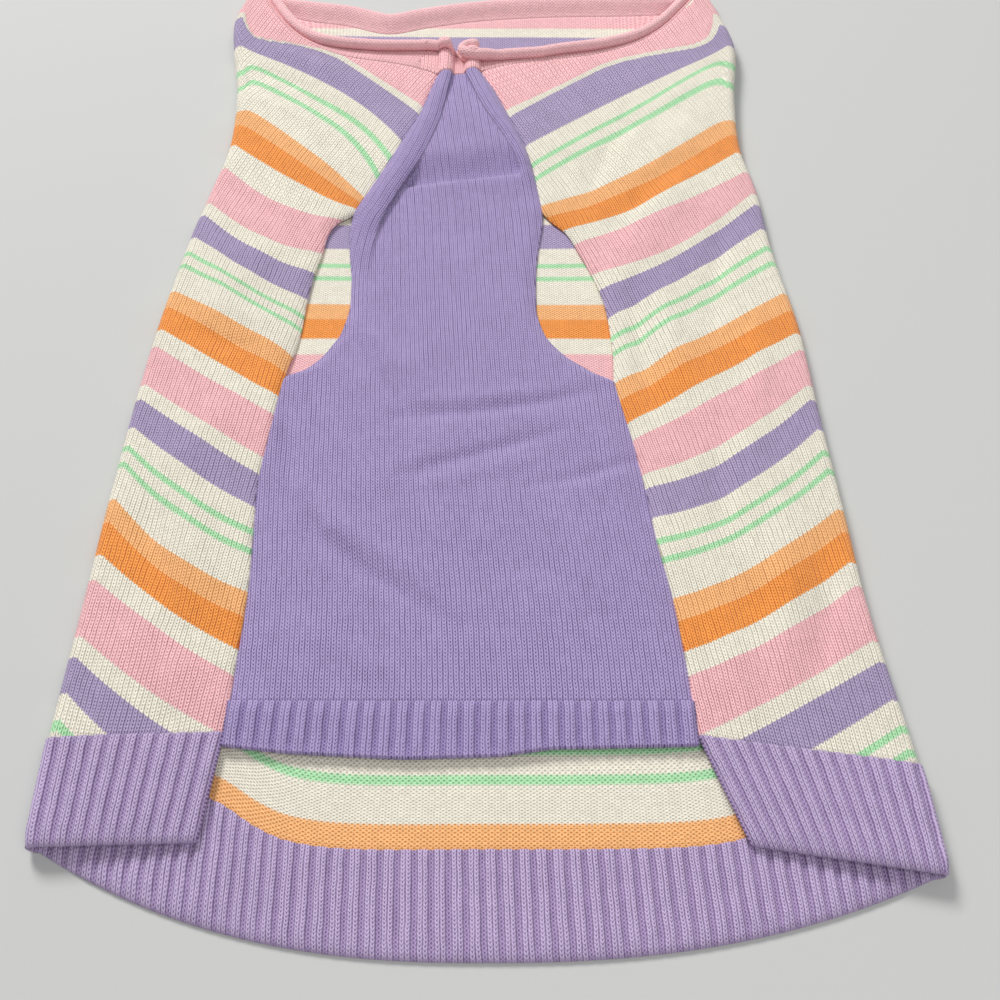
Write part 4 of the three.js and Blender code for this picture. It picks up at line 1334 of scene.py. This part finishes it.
class SweaterSettings(bpy.types.PropertyGroup):
    """Yarn colours and stitch sizes."""
    lilac: colour_property("Belly lilac", "Yarn of the belly panel", (0.675, 0.61, 0.776))
    rib: colour_property("Rib lilac", "Yarn of the ribbed hems", (0.765, 0.69, 0.82))
    lavender: colour_property("Stripe lavender", "Lavender stripes", (0.69, 0.63, 0.755))
    cream: colour_property("Cream", "Cream stripes", (0.93, 0.908, 0.85))
    mint: colour_property("Mint", "Mint stripes", (0.71, 0.89, 0.71))
    peach: colour_property("Peach", "Peach stripes", (0.96, 0.74, 0.51))
    orange: colour_property("Orange", "Orange stripes", (0.95, 0.63, 0.31))
    pink: colour_property("Pink", "Pink stripes and neck band", (0.945, 0.755, 0.765))
    stitch_slope: FloatProperty(
        name="Stitch slope", description="Rise of a stitch's leg, in courses",
        default=0.75, min=0.0, max=1.5,
    )
    stitch_depth: FloatProperty(
        name="Stitch depth", description="Depth of the relief between stitches",
        default=0.0005, min=0.0, max=0.002, unit="LENGTH",
    )
    stitch_strength: FloatProperty(
        name="Stitch strength", description="Strength of the relief between stitches",
        default=0.8, min=0.0, max=1.0, subtype="FACTOR",
    )


class SWEATER_OT_body(bpy.types.Operator):
    """Add the striped body"""
    bl_idname = "sweater.body"
    bl_label = "Striped body"

    def execute(self, context):
        make_body()
        return {"FINISHED"}


class SWEATER_OT_hem(bpy.types.Operator):
    """Add the body's ribbed hem"""
    bl_idname = "sweater.hem"
    bl_label = "Ribbed hem"

    def execute(self, context):
        make_hem()
        return {"FINISHED"}


class SWEATER_OT_belly(bpy.types.Operator):
    """Add the belly panel and its ribbed hem"""
    bl_idname = "sweater.belly"
    bl_label = "Belly panel"

    def execute(self, context):
        make_belly()
        make_belly_hem()
        return {"FINISHED"}


class SWEATER_OT_neck(bpy.types.Operator):
    """Add the neck band with its rolled edge"""
    bl_idname = "sweater.neck"
    bl_label = "Rolled neck band"

    def execute(self, context):
        make_neck()
        return {"FINISHED"}


class SWEATER_OT_stage(bpy.types.Operator):
    """Add the pale floor, the soft light and the camera"""
    bl_idname = "sweater.stage"
    bl_label = "Floor, light and camera"

    def execute(self, context):
        make_stage()
        return {"FINISHED"}


class SWEATER_PT_panel(bpy.types.Panel):
    """Sweater pieces and yarns"""
    bl_label = "Dog sweater"
    bl_space_type = "VIEW_3D"
    bl_region_type = "UI"
    bl_category = "Sweater"

    def draw(self, context):
        settings = context.scene.sweater
        for name in SweaterSettings.__annotations__:
            self.layout.prop(settings, name)
        for operator in OPERATORS:
            self.layout.operator(operator.bl_idname)


OPERATORS = (
    SWEATER_OT_body, SWEATER_OT_hem, SWEATER_OT_belly, SWEATER_OT_neck, SWEATER_OT_stage,
)
CLASSES = (SweaterSettings, *OPERATORS, SWEATER_PT_panel)


def register():
    """Register the classes and the scene's settings."""
    for cls in CLASSES:
        bpy.utils.register_class(cls)
    bpy.types.Scene.sweater = PointerProperty(type=SweaterSettings)


def unregister():
    """Remove the scene's settings and the classes."""
    del bpy.types.Scene.sweater
    for cls in reversed(CLASSES):
        bpy.utils.unregister_class(cls)


def main():
    """Register the add-on, then build every piece and the stage."""
    register()
    bpy.ops.sweater.body()
    bpy.ops.sweater.hem()
    bpy.ops.sweater.belly()
    bpy.ops.sweater.neck()
    bpy.ops.sweater.stage()


if __name__ == "__main__":
    main()
